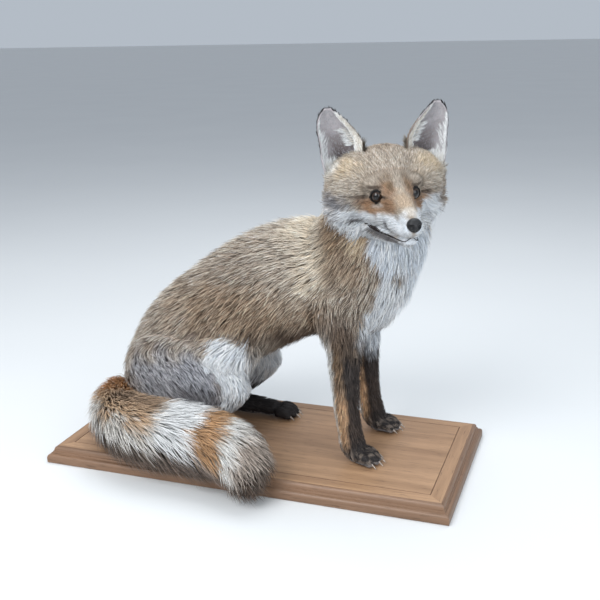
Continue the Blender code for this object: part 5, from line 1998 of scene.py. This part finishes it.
@dataclass
class EarCoat:
    """The fur of one ear: black back and rim, cream fringes and a thin down inside."""

    ear: Ear
    share: float
    seed: int = 61
    clump: int = 5
    pull: float = 0.35
    sink: float = 0.0004

    def grown(self, patch: Patch) -> Roots:
        """Choose the roots on one patch.

        Args:
            patch: the patch.

        Returns:
            The roots.
        """
        rng = np.random.default_rng(patch.seed + (self.ear.side > 0))
        count = int(patch.count * self.share)
        outward = self.ear.outward()
        across, up = rng.uniform(*patch.across, count), rng.uniform(*patch.up, count)
        point, out = self.ear.surface(across * outward, up, patch.face)
        _, rise, aside, _ = (axis @ HEAD_TURN.T for axis in self.ear.axes())
        flow = aside * (outward * patch.way[0]) + rise / np.linalg.norm(rise) * patch.way[1]
        flow = unit(flow - out * (out @ flow)[:, None])
        length, depth, width = patch.sizes
        angle = (across + 1) / 2 * EAR_MAP_WIDTH + EAR_MAP_FRONT * (patch.face > 0)
        return Roots(point, flow, out, np.full(count, length), np.full(count, depth),
                     np.full(count, width / math.sqrt(self.share)),
                     np.full(count, int(self.ear.side > 0)), up, angle)

    def back_shades(self, _: np.ndarray, roots: Roots) -> np.ndarray:
        """Shade the ear's back black, and brown on the inner side low down.

        Args:
            roots: where the tufts grow.

        Returns:
            Ten numbers for each tuft.
        """
        across = (roots.angle / EAR_MAP_WIDTH) * 2 - 1
        base = np.tile(SOOT.row(), (len(roots), 1))
        laid(base, BEIGE.row() * 0.7 + DRAB.row() * 0.3,
             fall(-0.45, 0.05, across) * fall(0.66, 0.86, roots.share))
        return base

    def fringe_shades(self, _: np.ndarray, roots: Roots) -> np.ndarray:
        """Shade the fringes tan along the inner rim, and white above the hollow.

        Args:
            roots: where the tufts grow.

        Returns:
            Ten numbers for each tuft.
        """
        across = (roots.angle - EAR_MAP_FRONT) / EAR_MAP_WIDTH * 2 - 1
        base = np.tile(CREAM.row() * 0.5 + WHITE.row() * 0.5, (len(roots), 1))
        laid(base, BEIGE.row() * 0.55 + CREAM.row() * 0.45,
             0.85 * fall(-0.86, -0.62, across) * fall(0.80, 0.95, roots.share))
        laid(base, BEIGE.row() * 0.35 + CREAM.row() * 0.65, 0.7 * fall(0.05, 0.22, roots.share))
        return base

    def down_shades(self, _: np.ndarray, roots: Roots) -> np.ndarray:
        """Shade the thin down inside mauve grey."""
        return np.tile(PEARL.row() * 0.38 + TAUPE.row() * 0.62, (len(roots), 1))

    def build(self) -> list[Item]:
        """Grow the fur of the ear.

        Returns:
            Its pieces.
        """
        word = "left" if self.ear.side > 0 else "right"
        pieces = []
        for name, patches, shades, kind in (
                ("back", EAR_BACK_FUR, self.back_shades, Kind.SPIKE),
                ("fringe", EAR_FRINGES, self.fringe_shades, Kind.BLADE),
                ("down", EAR_DOWN, self.down_shades, Kind.SPIKE)):
            roots = Roots.gathered([self.grown(patch) for patch in patches])
            tufts = Tufts(f"ear_{name}_{word}", kind, self.seed, clump=self.clump, pull=self.pull,
                          sink=self.sink)
            pieces.append(tufts.build(roots, shades))
        return pieces


@dataclass
class Coat:
    """The whole coat, as joined meshes of tufts.

    limit is the most triangles in one piece. Hair shorter than short grows as spikes, and
    tail_style is how the tail's tufts differ from the others.
    """

    pelt: Pelt
    share: float = 1.0
    seed: int = 21
    first_seed: int = 100
    limit: int = 190000
    short: float = 0.0085
    tail_style: tuple[tuple[str, float], ...] = (("follow", 0.45), ("softness", 0.76))

    def shades(self, seen: np.ndarray, roots: Roots) -> np.ndarray:
        """Shade each tuft by the markings.

        Args:
            seen: a point on each tuft.
            roots: where the tufts grow.

        Returns:
            Ten numbers for each tuft.
        """
        coats = self.pelt.coats(roots.owner)
        made = MARKINGS.body(seen)
        on_head, on_tail = coats == "head", coats == "tail"
        if on_head.any():
            made[on_head] = MARKINGS.head(to_head(seen[on_head]))
        if on_tail.any():
            rows, share = np.array(TAIL), roots.share[on_tail]
            here = read_line(rows, share * (len(rows) - 1))
            high = (seen[on_tail, 2] - here[:, 2]) / here[:, 3] * 1.3
            made[on_tail] = MARKINGS.tail(seen[on_tail], share, high)
        return made

    def build(self) -> list[Item]:
        """Grow the coat of the body, and that of the ears.

        Returns:
            Every piece of it.
        """
        roots = self.pelt.scatter(self.share, self.seed)
        roots.width *= 1 / math.sqrt(self.share)
        coats = self.pelt.coats(roots.owner)
        kinds = np.array([length.kind.value for length in self.pelt.lengths])[roots.owner]
        kinds = np.where(roots.length < self.short, Kind.SPIKE.value, kinds)
        pieces = []
        for coat in sorted(set(coats)):
            style = dict(self.tail_style) if coat == "tail" else {}
            for kind in Kind:
                chosen = np.flatnonzero((coats == coat) & (kinds == kind.value))
                if len(chosen) == 0:
                    continue
                parts = math.ceil(len(chosen) * kind.triangles() / self.limit)
                order = chosen[np.argsort(roots.place[chosen, 0], kind="stable")]
                for number, part in enumerate(np.array_split(order, parts)):
                    tufts = Tufts(f"coat_{coat}_{kind.name.lower()}_{number + 1}", kind,
                                  self.first_seed + len(pieces), self.pelt.surface, **style)
                    pieces.append(tufts.build(roots.taken(part), self.shades,
                                              len(self.pelt.lengths)))
        for ear in EARS:
            pieces += EarCoat(ear, self.share).build()
        return pieces


class Signal:
    """One value in a material, with arithmetic that adds Math nodes."""

    def __init__(self, finish: "Finish", socket: bpy.types.NodeSocket) -> None:
        """Wrap an output socket of a finish's node."""
        self.finish = finish
        self.socket = socket

    def done(self, operation: str, *values: object) -> "Signal":
        """Add a Math node over this value and others."""
        node = self.finish.node("ShaderNodeMath", {"operation": operation},
                                dict(enumerate(values)))
        return Signal(self.finish, node.outputs[0])

    def __add__(self, other: object) -> "Signal":
        """Return this value plus another."""
        return self.done("ADD", self, other)

    def __sub__(self, other: object) -> "Signal":
        """Return this value less another."""
        return self.done("SUBTRACT", self, other)

    def __rsub__(self, other: object) -> "Signal":
        """Return another value less this one."""
        return self.done("SUBTRACT", other, self)

    def __mul__(self, other: object) -> "Signal":
        """Return this value times another."""
        return self.done("MULTIPLY", self, other)

    __radd__ = __add__
    __rmul__ = __mul__

    def between(self, low: float, high: float) -> "Signal":
        """Return 0 below low, 1 above high, and a straight rise between."""
        node = self.finish.node("ShaderNodeMapRange", {"clamp": True},
                                {"Value": self, "From Min": low, "From Max": high})
        return Signal(self.finish, node.outputs["Result"])


@dataclass
class Finish:
    """A material that is built node by node round one Principled shader."""

    name: str
    constants: dict[str, float] = field(default_factory=dict)

    def __post_init__(self) -> None:
        """Make the material, with the constants on the shader's own sockets."""
        self.material = bpy.data.materials.new(self.name)
        self.material.use_nodes = True
        self.tree = self.material.node_tree
        self.shader = self.tree.nodes["Principled BSDF"]
        for key, value in self.constants.items():
            self.shader.inputs[key].default_value = value

    def node(self, kind: str, settings: dict[str, object] | None = None,
             inputs: dict[object, object] | None = None) -> bpy.types.Node:
        """Add one node.

        Args:
            kind: the node's type.
            settings: its properties, or for a ramp its stops under the key stops.
            inputs: values, sockets or signals for its inputs, by name or number.

        Returns:
            The node.
        """
        node = self.tree.nodes.new(kind)
        for key, value in (settings or {}).items():
            if key == "stops":
                self.set_stops(node.color_ramp, value)
            else:
                setattr(node, key, value)
        for key, value in (inputs or {}).items():
            self.feed(node.inputs[key], value)
        return node

    def feed(self, target: bpy.types.NodeSocket, value: object) -> None:
        """Give an input its value.

        Args:
            target: the input.
            value: a socket or a signal, which is linked, or a plain value, which is set.
        """
        source = value.socket if isinstance(value, Signal) else value
        if isinstance(source, bpy.types.NodeSocket):
            self.tree.links.new(source, target)
        else:
            target.default_value = source

    @staticmethod
    def set_stops(ramp: bpy.types.ColorRamp, stops: tuple[tuple[float, Point], ...]) -> None:
        """Set the stops of a colour ramp.

        Args:
            ramp: the ramp.
            stops: a place from 0 to 1 and a colour for each.
        """
        while len(ramp.elements) < len(stops):
            ramp.elements.new(1.0)
        for element, (place, colour) in zip(ramp.elements, stops):
            element.position = place
            element.color = (*colour, 1.0)

    def attribute(self, name: str, output: str) -> bpy.types.NodeSocket:
        """Read an attribute of the mesh."""
        return self.node("ShaderNodeAttribute", {"attribute_name": name}).outputs[output]

    def place(self, scale: Point = (1, 1, 1)) -> bpy.types.NodeSocket:
        """Return Object coordinates, scaled."""
        source = self.node("ShaderNodeTexCoord").outputs["Object"]
        return self.node("ShaderNodeMapping", {}, {"Vector": source, "Scale": scale}).outputs["Vector"]

    def noise(self, scale: float, detail: float = 3.0, stretch: Point = (1, 1, 1),
              rough: float = 0.5) -> Signal:
        """Add a noise.

        Args:
            scale: waves to the metre.
            detail: number of finer layers.
            stretch: scale of the Object coordinates that it is read at.
            rough: strength of the finer layers.

        Returns:
            Its value.
        """
        node = self.node("ShaderNodeTexNoise", {}, {
            "Vector": self.place(stretch), "Scale": scale, "Detail": detail, "Roughness": rough})
        return Signal(self, node.outputs["Fac"])

    def blend(self, share: object, first: object, second: object,
              mode: str = "MIX") -> bpy.types.NodeSocket:
        """Mix two colours.

        Args:
            share: how far the second takes over.
            first: the first colour, as numbers or a socket.
            second: the second colour.
            mode: the way of mixing.

        Returns:
            The mixed colour.
        """
        colours = (value if isinstance(value, bpy.types.NodeSocket) else (*value, 1.0)
                   for value in (first, second))
        node = self.node("ShaderNodeMix", {"data_type": "RGBA", "blend_type": mode},
                         dict(zip((0, 6, 7), (share, *colours))))
        return node.outputs[2]

    def send(self, target: str, value: object) -> None:
        """Give one of the shader's inputs its varying value."""
        self.feed(self.shader.inputs[target], value)

    def bump(self, height: Signal, strength: float, distance: float) -> None:
        """Raise the surface by a height."""
        node = self.node("ShaderNodeBump", {}, {"Height": height, "Strength": strength,
                                                "Distance": distance})
        self.send("Normal", node.outputs["Normal"])

    def dress(self, *items: Item) -> None:
        """Give the material to objects."""
        for item in items:
            item.data.materials.clear()
            item.data.materials.append(self.material)


@dataclass(frozen=True)
class Fur:
    """The coat's finish: its own colour, a little uneven and nearly matt."""

    shadow: Point = (0.84, 0.83, 0.82)

    def finish(self) -> Finish:
        """Build the nodes.

        Returns:
            The finish.
        """
        made = Finish("fur", {"Roughness": 0.62, "Specular IOR Level": 0.28})
        colour = made.attribute(COLOUR, "Color")
        uneven = made.noise(900.0, 2.0).between(0.25, 0.75)
        darker = made.blend(1.0, colour, self.shadow, "MULTIPLY")
        made.send("Base Color", made.blend(uneven, darker, colour))
        made.send("Roughness", 0.55 + 0.15 * uneven)
        return made


@dataclass(frozen=True)
class Hide:
    """The skin's finish: the markings, under a bump of short flat hair."""

    shadow: Point = (0.62, 0.60, 0.58)

    def finish(self) -> Finish:
        """Build the nodes.

        Returns:
            The finish.
        """
        made = Finish("pelt", {"Specular IOR Level": 0.25})
        colour = made.attribute(COLOUR, "Color")
        hairs, patches = made.noise(1400.0), made.noise(160.0)
        shade = hairs.between(0.30, 0.70) * 0.6 + patches.between(0.3, 0.7) * 0.4
        darker = made.blend(1.0, colour, self.shadow, "MULTIPLY")
        made.send("Base Color", made.blend(shade, darker, colour))
        made.send("Roughness", 0.60 + 0.25 * patches)
        made.bump(hairs, 0.5, 0.0006)
        return made


@dataclass(frozen=True)
class Glass:
    """The glass eye's finish: black pupil, dark brown iris and black rim.

    Each stop is an angle from the pupil, in radians, and a colour.
    """

    stops: tuple[tuple[float, Point], ...] = (
        (0.0, (0.003, 0.002, 0.002)), (0.40, (0.004, 0.002, 0.002)),
        (0.47, (0.020, 0.010, 0.006)), (0.62, (0.040, 0.021, 0.013)),
        (0.72, (0.012, 0.007, 0.005)), (0.80, (0.003, 0.003, 0.003)))

    def finish(self) -> Finish:
        """Build the nodes.

        Returns:
            The finish.
        """
        made = Finish("eye_glass", {"Coat Weight": 0.7, "Coat Roughness": 0.01, "Roughness": 0.30,
                                    "Specular IOR Level": 0.10})
        angle = Signal(made, made.attribute("from_pupil", "Fac"))
        place = angle + 0.06 * (made.noise(900.0, 2.0) - 0.5)
        ramp = made.node("ShaderNodeValToRGB", {"stops": self.stops}, {"Fac": place})
        made.send("Base Color", ramp.outputs["Color"])
        return made


@dataclass(frozen=True)
class Leather:
    """The nose's finish: black leather with fine pebbling and a satin shine."""

    dark: Point = (0.007, 0.007, 0.008)
    pale: Point = (0.020, 0.019, 0.020)

    def finish(self) -> Finish:
        """Build the nodes.

        Returns:
            The finish.
        """
        made = Finish("nose_leather", {"Coat Weight": 0.10, "Coat Roughness": 0.30,
                                       "Specular IOR Level": 0.3})
        cells = made.node("ShaderNodeTexVoronoi", {"feature": "SMOOTH_F1"}, {
            "Vector": made.place(), "Scale": 1300.0, "Smoothness": 0.6})
        broad = made.noise(220.0)
        made.send("Base Color", made.blend(broad.between(0.3, 0.7), self.dark, self.pale))
        made.send("Roughness", 0.34 + 0.20 * broad)
        made.bump(Signal(made, cells.outputs["Distance"]) * 0.8 + broad * 0.4, 0.55, 0.0004)
        return made


@dataclass(frozen=True)
class Mottled:
    """A finish whose colour, roughness and bump follow one noise.

    scale, detail and stretch are the noise's, and edges the values of it at which the dark
    colour ends and the pale one starts. rough is the roughness at 0 and its rise to 1, and
    bump the strength and the distance of the bump.
    """

    name: str
    scale: float
    detail: float
    edges: Pair
    dark: Point
    pale: Point
    rough: Pair
    bump: Pair = (0.0, 0.0)
    stretch: Point = (1, 1, 1)
    constants: tuple[tuple[str, float], ...] = ()

    def finish(self) -> Finish:
        """Build the nodes.

        Returns:
            The finish.
        """
        made = Finish(self.name, dict(self.constants))
        noise = made.noise(self.scale, self.detail, self.stretch)
        made.send("Base Color", made.blend(noise.between(*self.edges), self.dark, self.pale))
        made.send("Roughness", self.rough[0] + self.rough[1] * noise)
        if self.bump[0]:
            made.bump(noise, *self.bump)
        return made


# Near black lips, pale horn that is streaked along the claw, and black whiskers paler in places
LIP = Mottled("lip", 1100.0, 3.0, (0.3, 0.7), (0.006, 0.004, 0.004), (0.018, 0.010, 0.009),
              (0.50, 0.25), (0.4, 0.0003), constants=(("Specular IOR Level", 0.2),))
HORN = Mottled("horn", 700.0, 4.0, (0.32, 0.68), (0.16, 0.12, 0.10), (0.62, 0.55, 0.48),
               (0.32, 0.25), (0.25, 0.0003), (0.25, 1.0, 1.0), (("Coat Weight", 0.2),))
WHISKER = Mottled("whisker", 60.0, 1.0, (0.45, 0.7), (0.012, 0.010, 0.010), (0.10, 0.085, 0.075),
                  (0.35, 0.1))


@dataclass(frozen=True)
class Oak:
    """The oak of the plinth: warm mid-brown with long grain, pores and a satin polish."""

    pale: Point = (0.50, 0.300, 0.170)
    deep: Point = (0.220, 0.118, 0.060)
    pore: Point = (0.085, 0.042, 0.020)

    def finish(self, name: str, along: Point) -> Finish:
        """Make the finish.

        Args:
            name: its name.
            along: scale of the Object coordinates, small along the grain.

        Returns:
            The finish.
        """
        made = Finish(name, {"Coat Weight": 0.06, "Coat Roughness": 0.35})
        wander = made.noise(3.0, 2.0, along).between(0.3, 0.7)
        grain = made.noise(46.0, 5.0, along, 0.6).between(0.36, 0.64)
        fine = made.noise(260.0, 4.0, along, 0.7)
        dots = made.noise(620.0, 2.0, along, 0.6).between(0.60, 0.72) * 0.7
        tone = grain * 0.50 + fine.between(0.34, 0.66) * 0.25 + wander * 0.25
        colour = made.blend(tone, self.deep, self.pale)
        made.send("Base Color", made.blend(dots, colour, self.pore))
        made.send("Roughness", 0.36 + 0.22 * fine)
        made.bump(fine * 0.5 - dots, 0.25, 0.0004)
        return made


# One oak in two tones: the top board paler as painted light, the rails darker as painted shade
TOP_OAK_LIT = Oak()
RAIL_OAK_SHADED = Oak((0.265, 0.150, 0.088), (0.125, 0.066, 0.034))


@dataclass
class Plinth:
    """The oak plinth with its moulded edge.

    border is the width of the edge up to the groove round the top board. Each row of groove
    is an inset from border and a depth. foot and step are the rows under the moulding's two
    curves, as inset and height, and cove and lip say where those curves start and how far
    each goes in and up.
    """

    length: float = 0.600
    depth: float = 0.280
    height: float = 0.024
    border: float = 0.030
    groove: tuple[Pair, ...] = ((0.0, 0.0), (0.0003, -0.0010), (0.0009, -0.0010), (0.0012, 0.0))
    foot: tuple[Pair, ...] = ((0.0012, 0.0), (0.0, 0.0012), (0.0, 0.0078))
    cove: tuple[float, ...] = (0.0, 0.0078, 0.0070 * 0.86, 0.0070 * 0.86)
    step: tuple[Pair, ...] = ((0.0068, 0.0160), (0.0068, 0.0166), (0.0080, 0.0168),
                              (0.0082, 0.0178))
    lip: tuple[float, ...] = (0.0082, 0.0178, 0.0060, 0.0062)

    @staticmethod
    def curve(start: tuple[float, ...], count: int) -> list[Pair]:
        """Draw a quarter turn, from upright to level.

        Args:
            start: inset and height where it starts, and how far it goes in and up.
            count: number of rows.

        Returns:
            The rows as inset and height.
        """
        inset, high, aside, rise = start
        turns = [math.pi / 2 * number / count for number in range(1, count + 1)]
        return [(inset + aside * (1 - math.cos(turn)), high + rise * math.sin(turn)) for turn in turns]

    def profile(self) -> list[Pair]:
        """Return the edge as inset from the outer edge and height, from below to above."""
        groove = [(self.border + inset, self.height + low) for inset, low in self.groove]
        return [*self.foot, *self.curve(self.cove, 6), *self.step, *self.curve(self.lip, 8), *groove]

    def build(self) -> Item:
        """Extrude a flat face ring by ring along the profile.

        Returns:
            The plinth as one closed surface.
        """
        bm = bmesh.new()
        bmesh.ops.create_grid(bm, x_segments=1, y_segments=1, size=1.0)
        top = bm.faces[:][0]
        for number, (inset, z) in enumerate(self.profile()):
            if number:
                made = bmesh.ops.extrude_face_region(bm, geom=[top, *top.edges, *top.verts])
                top = next(part for part in made["geom"] if isinstance(part, bmesh.types.BMFace))
            for vert in top.verts:
                vert.co = (math.copysign(self.length / 2 - inset, vert.co.x),
                           math.copysign(self.depth / 2 - inset, vert.co.y), z)
        bmesh.ops.recalc_face_normals(bm, faces=bm.faces)
        item = made_object(bm, "plinth")
        item.data.set_sharp_from_angle(angle=math.radians(32))
        return item

    def dress(self, item: Item) -> None:
        """Give the long rails and the top board grain along X, and the ends along Y.

        Args:
            item: the plinth.
        """
        # The rails take the darker copy of the oak, as painted shade; the top board the paler one
        for oak, name in ((RAIL_OAK_SHADED, "oak"), (TOP_OAK_LIT, "oak_top")):
            for word, along in (("", (0.06, 1.0, 1.0)), ("_ends", (1.0, 0.06, 1.0))):
                item.data.materials.append(oak.finish(name + word, along).material)
        inner_x, inner_y = self.length / 2 - self.border - 0.0005, self.depth / 2
        for face in item.data.polygons:
            x, y, z = face.center
            ends = abs(x) > inner_x and abs(y) < inner_y - (self.length / 2 - abs(x))
            face.material_index = int(ends) + 2 * int(z > self.height - 0.0002)


@dataclass
class Nose:
    """The nose pad with its nostrils and the cleft below them.

    Each hole is a place aside and up and a share of the nostril's radius: the opening, and
    the slit that runs out from it.
    """

    nostril: float = 0.0030
    deep: float = 0.0042
    rim: float = 0.0006
    holes: tuple[Point, ...] = ((0.0047, -0.0010, 1.0), (0.0072, -0.0002, 0.62))
    cleft: float = 0.0007
    cleft_wide: float = 0.0006

    def shaped(self, x: float, y: float, z: float) -> Vector:
        """Move a point of a unit sphere to the nose's surface.

        Args:
            x: its place forward.
            y: its place to the left.
            z: its place up.

        Returns:
            The point in the head's frame.
        """
        narrow = 1.0 - 0.24 * max(0.0, -z) + 0.05 * max(0.0, z)
        flat = 1.0 - 0.10 * max(0.0, x) * max(0.0, z)
        point = Vector((x * NOSE_RADII.x * flat, y * NOSE_RADII.y * narrow, z * NOSE_RADII.z))
        for _, side in SIDES:
            gap = min(math.hypot(point.y - side * aside, point.z - up) / (self.nostril * size)
                      for aside, up, size in self.holes)
            if x > -0.1:
                point.x -= self.deep * math.exp(-(gap ** 4) * 1.6)
                point.x += self.rim * math.exp(-((gap - 1.5) ** 2) * 6)
        if x > 0 and z < 0.25:
            point.x -= self.cleft * math.exp(-((point.y / self.cleft_wide) ** 2))
        return point + NOSE_CENTRE

    def build(self) -> Item:
        """Shape the nose from a fine sphere.

        Returns:
            The nose.
        """
        bm = bmesh.new()
        bmesh.ops.create_uvsphere(bm, u_segments=72, v_segments=52, radius=1.0)
        for vert in bm.verts:
            vert.co = self.shaped(*vert.co)
        bmesh.ops.transform(bm, matrix=HEAD, verts=bm.verts)
        return made_object(bm, "nose_pad")


@dataclass
class Lips:
    """The dark line of the mouth, thickest at the sides of the muzzle.

    proud is how far it stands out from the skin, and thick its radii from a corner of the
    mouth to the point before its middle.
    """

    pelt: Pelt
    proud: float = 0.0018
    thick: tuple[float, ...] = (0.0004, 0.0011, 0.0028, 0.0031, 0.0014, 0.0008, 0.0006, 0.0005)
    middle: float = 0.0005

    def build(self) -> Item:
        """Draw the lips along the mouth's crease.

        Returns:
            One tapered tube.
        """
        rows = to_head(self.pelt.surface.nearest(from_head(mouth_rows())))
        rows += unit(rows - rows.mean(axis=0)) * self.proud
        sizes = (*self.thick, self.middle, *self.thick[::-1])
        stations = tuple((*row, size, size * 0.9) for row, size in zip(rows, sizes))
        return Form("lips_line", stations, side=UP, rings=110, segments=14, cap=0.03,
                    on_head=True).build()


@dataclass
class Claws:
    """Sixteen curved claws, four on each paw."""

    length: float = 0.0128
    radius: float = 0.0019
    steps: int = 5

    def build(self) -> Item:
        """Draw every claw along its curve.

        Returns:
            The claws of all paws in one object.
        """
        made = []
        for root, heading in toe_places():
            stations = []
            for part in (step / self.steps for step in range(self.steps + 1)):
                place = root + heading * (TOE_LENGTH - self.radius * 1.6 + self.length * part)
                height = STANDING + TOE_RADIUS * 1.20 - TOE_RADIUS * 0.92 * part ** 2
                radius = self.radius * (1.0 - 0.78 * part ** 1.3)
                stations.append((place.x, place.y, height, radius * 0.8, radius * 1.2))
            made.append(Form("claw", tuple(stations), side=UP.cross(heading), rings=20,
                             segments=12, cap=0.12).build())
        return joined("claws", made)


@dataclass
class Whiskers:
    """Fine whiskers in rows on the upper lips.

    sag is how far a whisker's end hangs back and down, in lengths.
    """

    rows: int = 4
    each: int = 4
    seed: int = 77
    radius: float = 0.00016
    sag: Point = (-0.25, 0.0, -0.22)

    def stations(self, side: int, row: int, step: int, rng: np.random.Generator) -> tuple[Row, ...]:
        """Draw one whisker.

        Args:
            side: 1 for the left lip and -1 for the right.
            row: number of its row, from the top.
            step: number in the row, from the front.
            rng: the source of the draws.

        Returns:
            Its stations in the head's frame.
        """
        root = np.array((0.048 - 0.009 * step, side * (0.0135 + 0.0024 * step),
                         -0.0235 - 0.0030 * row + 0.0006 * step))
        rise = 0.10 - 0.14 * row + rng.normal(0, 0.05)
        way = unit(np.array(((-0.25 - 0.16 * step, side, rise),)))[0]
        length = 0.026 + 0.006 * step + rng.uniform(-0.003, 0.003)
        made = []
        for part in (0.0, 0.25, 0.5, 0.75, 1.0):
            point = root + way * length * part + np.array(self.sag) * part * part * length
            made.append((*point, *(self.radius * (1.02 - part),) * 2))
        return tuple(made)

    def build(self) -> Item:
        """Draw the whiskers of both sides.

        Returns:
            All of them in one object.
        """
        rng = np.random.default_rng(self.seed)
        drawn = [self.stations(side, row, step, rng) for _, side in SIDES
                 for row in range(self.rows) for step in range(self.each)]
        return joined("whiskers", [Form("whisker", stations, side=UP, rings=12, segments=5,
                                        cap=0.05, on_head=True).build() for stations in drawn])


@dataclass(frozen=True)
class Lamp:
    """One soft square light that shines at a target."""

    name: str
    place: Point
    target: Point
    size: float
    power: float
    colour: Point

    def build(self) -> None:
        """Place the light."""
        data = bpy.data.lights.new(self.name, "AREA")
        data.energy, data.size, data.color = self.power, self.size, self.colour
        lamp = linked(self.name, data)
        lamp.location = self.place
        way = Vector(self.target) - Vector(self.place)
        lamp.rotation_euler = way.to_track_quat("-Z", "Y").to_euler()


@dataclass(frozen=True)
class Studio:
    """The pale floor, the soft lights and the camera at the photograph's angle."""

    camera_place: Vector = Vector((0.4708, -1.1554, 0.6092))
    azimuth: float = math.radians(19.814)
    pitch: float = math.radians(16.701)
    roll: float = math.radians(-1.22)
    sensor: float = 36.0
    lens: float = 54.0
    lamps: tuple[Lamp, ...] = (
        Lamp("key", (-0.5, -1.7, 1.7), (0.05, 0, 0.22), 1.3, 42.0, (0.96, 0.985, 1.0)),
        Lamp("fill", (1.7, -1.2, 1.1), (0.1, 0, 0.25), 1.6, 20.0, (0.90, 0.96, 1.0)),
        Lamp("top", (0.1, 0.4, 2.1), (0.05, 0, 0.2), 1.6, 24.0, (0.92, 0.97, 1.0)))
    sky: Point = (0.76, 0.84, 0.94)
    sky_strength: float = 0.60
    floor_size: float = 40.0
    floor_dark: Point = (0.70, 0.70, 0.70)
    floor_pale: Point = (0.74, 0.74, 0.735)

    def camera(self) -> None:
        """Place the camera."""
        sin_a, cos_a = math.sin(self.azimuth), math.cos(self.azimuth)
        sin_p, cos_p = math.sin(self.pitch), math.cos(self.pitch)
        ahead = Vector((-sin_a * cos_p, cos_a * cos_p, -sin_p))
        right = Vector((cos_a, sin_a, 0.0))
        up = right.cross(ahead)
        across = right * math.cos(self.roll) + up * math.sin(self.roll)
        upward = up * math.cos(self.roll) - right * math.sin(self.roll)
        data = bpy.data.cameras.new("camera")
        data.sensor_width, data.lens = self.sensor, self.lens
        camera = linked("camera", data)
        matrix = Matrix((across, upward, -ahead)).transposed().to_4x4()
        matrix.translation = self.camera_place
        camera.matrix_world = matrix
        bpy.context.scene.camera = camera

    def floor(self) -> None:
        """Lay the floor."""
        bm = bmesh.new()
        bmesh.ops.create_grid(bm, x_segments=1, y_segments=1, size=self.floor_size)
        floor = made_object(bm, "floor", smooth=False)
        finish = Finish("pale_floor", {"Roughness": 0.75, "Specular IOR Level": 0.2})
        cloud = finish.noise(2.0, 2.0)
        finish.send("Base Color", finish.blend(cloud, self.floor_dark, self.floor_pale))
        finish.dress(floor)
        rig.stage(floor)

    def build(self) -> None:
        """Make the floor, the lights, the world and the camera."""
        self.floor()
        for lamp in self.lamps:
            lamp.build()
        world = bpy.data.worlds.new("studio")
        world.use_nodes = True
        inputs = world.node_tree.nodes["Background"].inputs
        inputs["Color"].default_value = (*self.sky, 1.0)
        inputs["Strength"].default_value = self.sky_strength
        bpy.context.scene.world = world
        bpy.context.scene.view_settings.view_transform = "Standard"
        self.camera()


FLESH = ("chest", "trunk", "rump", "neck", "head", "ear_left", "ear_right", "foreleg_left",
         "foreleg_right", "forepaw_left", "forepaw_right", "thigh_left", "thigh_right", "knee_left",
         "knee_right", "hind_foot_left", "hind_foot_right", "tail_root", "tail_base", "tail_middle",
         "tail_tip")
# Material slot of a piece of the coat, by a word in its name
COAT_SLOTS = (("tail", "coat_tail"), ("head", "coat_head"), ("foreleg", "coat_legs"),
              ("hind_feet", "coat_legs"), ("ear", "ear_skin"))


def put(item: Item, finish: Finish | None, slot: str, *nodes: str) -> None:
    """Dress a piece and make it ride on the body.

    Args:
        item: the piece.
        finish: its material, or None where it is dressed already.
        slot: its material slot.
        nodes: the nodes of the frame that it replaces.
    """
    if finish:
        finish.dress(item)
    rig.ride(item, BODY)
    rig.slot(item, slot)
    if nodes:
        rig.replaces(item, *nodes)
    log.info("%s is in place", item.name)


def coat_slot(name: str) -> str:
    """Return the material slot of a piece of the coat, by its name."""
    return next((slot for word, slot in COAT_SLOTS if word in name), "coat_body")


def main() -> None:
    """Build the fox and its plinth piece by piece."""
    logging.basicConfig(level=logging.INFO, format="%(name)s %(message)s")
    lengths = body_lengths()
    skin = Skin(lengths).build()
    pelt = Pelt(skin, lengths)
    pelt.paint()
    put(skin, Hide().finish(), "coat_body", *FLESH)
    fur = Fur().finish()
    for piece in Coat(pelt, 0.35 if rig.quick() else 1.0).build():
        put(piece, fur, coat_slot(piece.name))
    glass = Glass().finish()
    for eye, (word, _) in zip(EYES, SIDES):
        put(eye.build("glass_eye_" + word), glass, "eye_glass", "eye_" + word)
    put(Nose().build(), Leather().finish(), "nose_skin", "nose")
    put(Lips(pelt).build(), LIP.finish(), "nose_skin")
    put(Claws().build(), HORN.finish(), "coat_legs")
    put(Whiskers().build(), WHISKER.finish(), "coat_head")
    plinth = Plinth()
    board = plinth.build()
    plinth.dress(board)
    put(board, None, "oak", "stand_plinth")
    Studio().build()
    sizes = {"cad": [list(corner) for corner in CAD_BOX],
             "visual": [list(corner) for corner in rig.bounds()]}
    with open("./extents.json", "w") as out:
        json.dump(sizes, out)


if __name__ == "__main__":
    main()
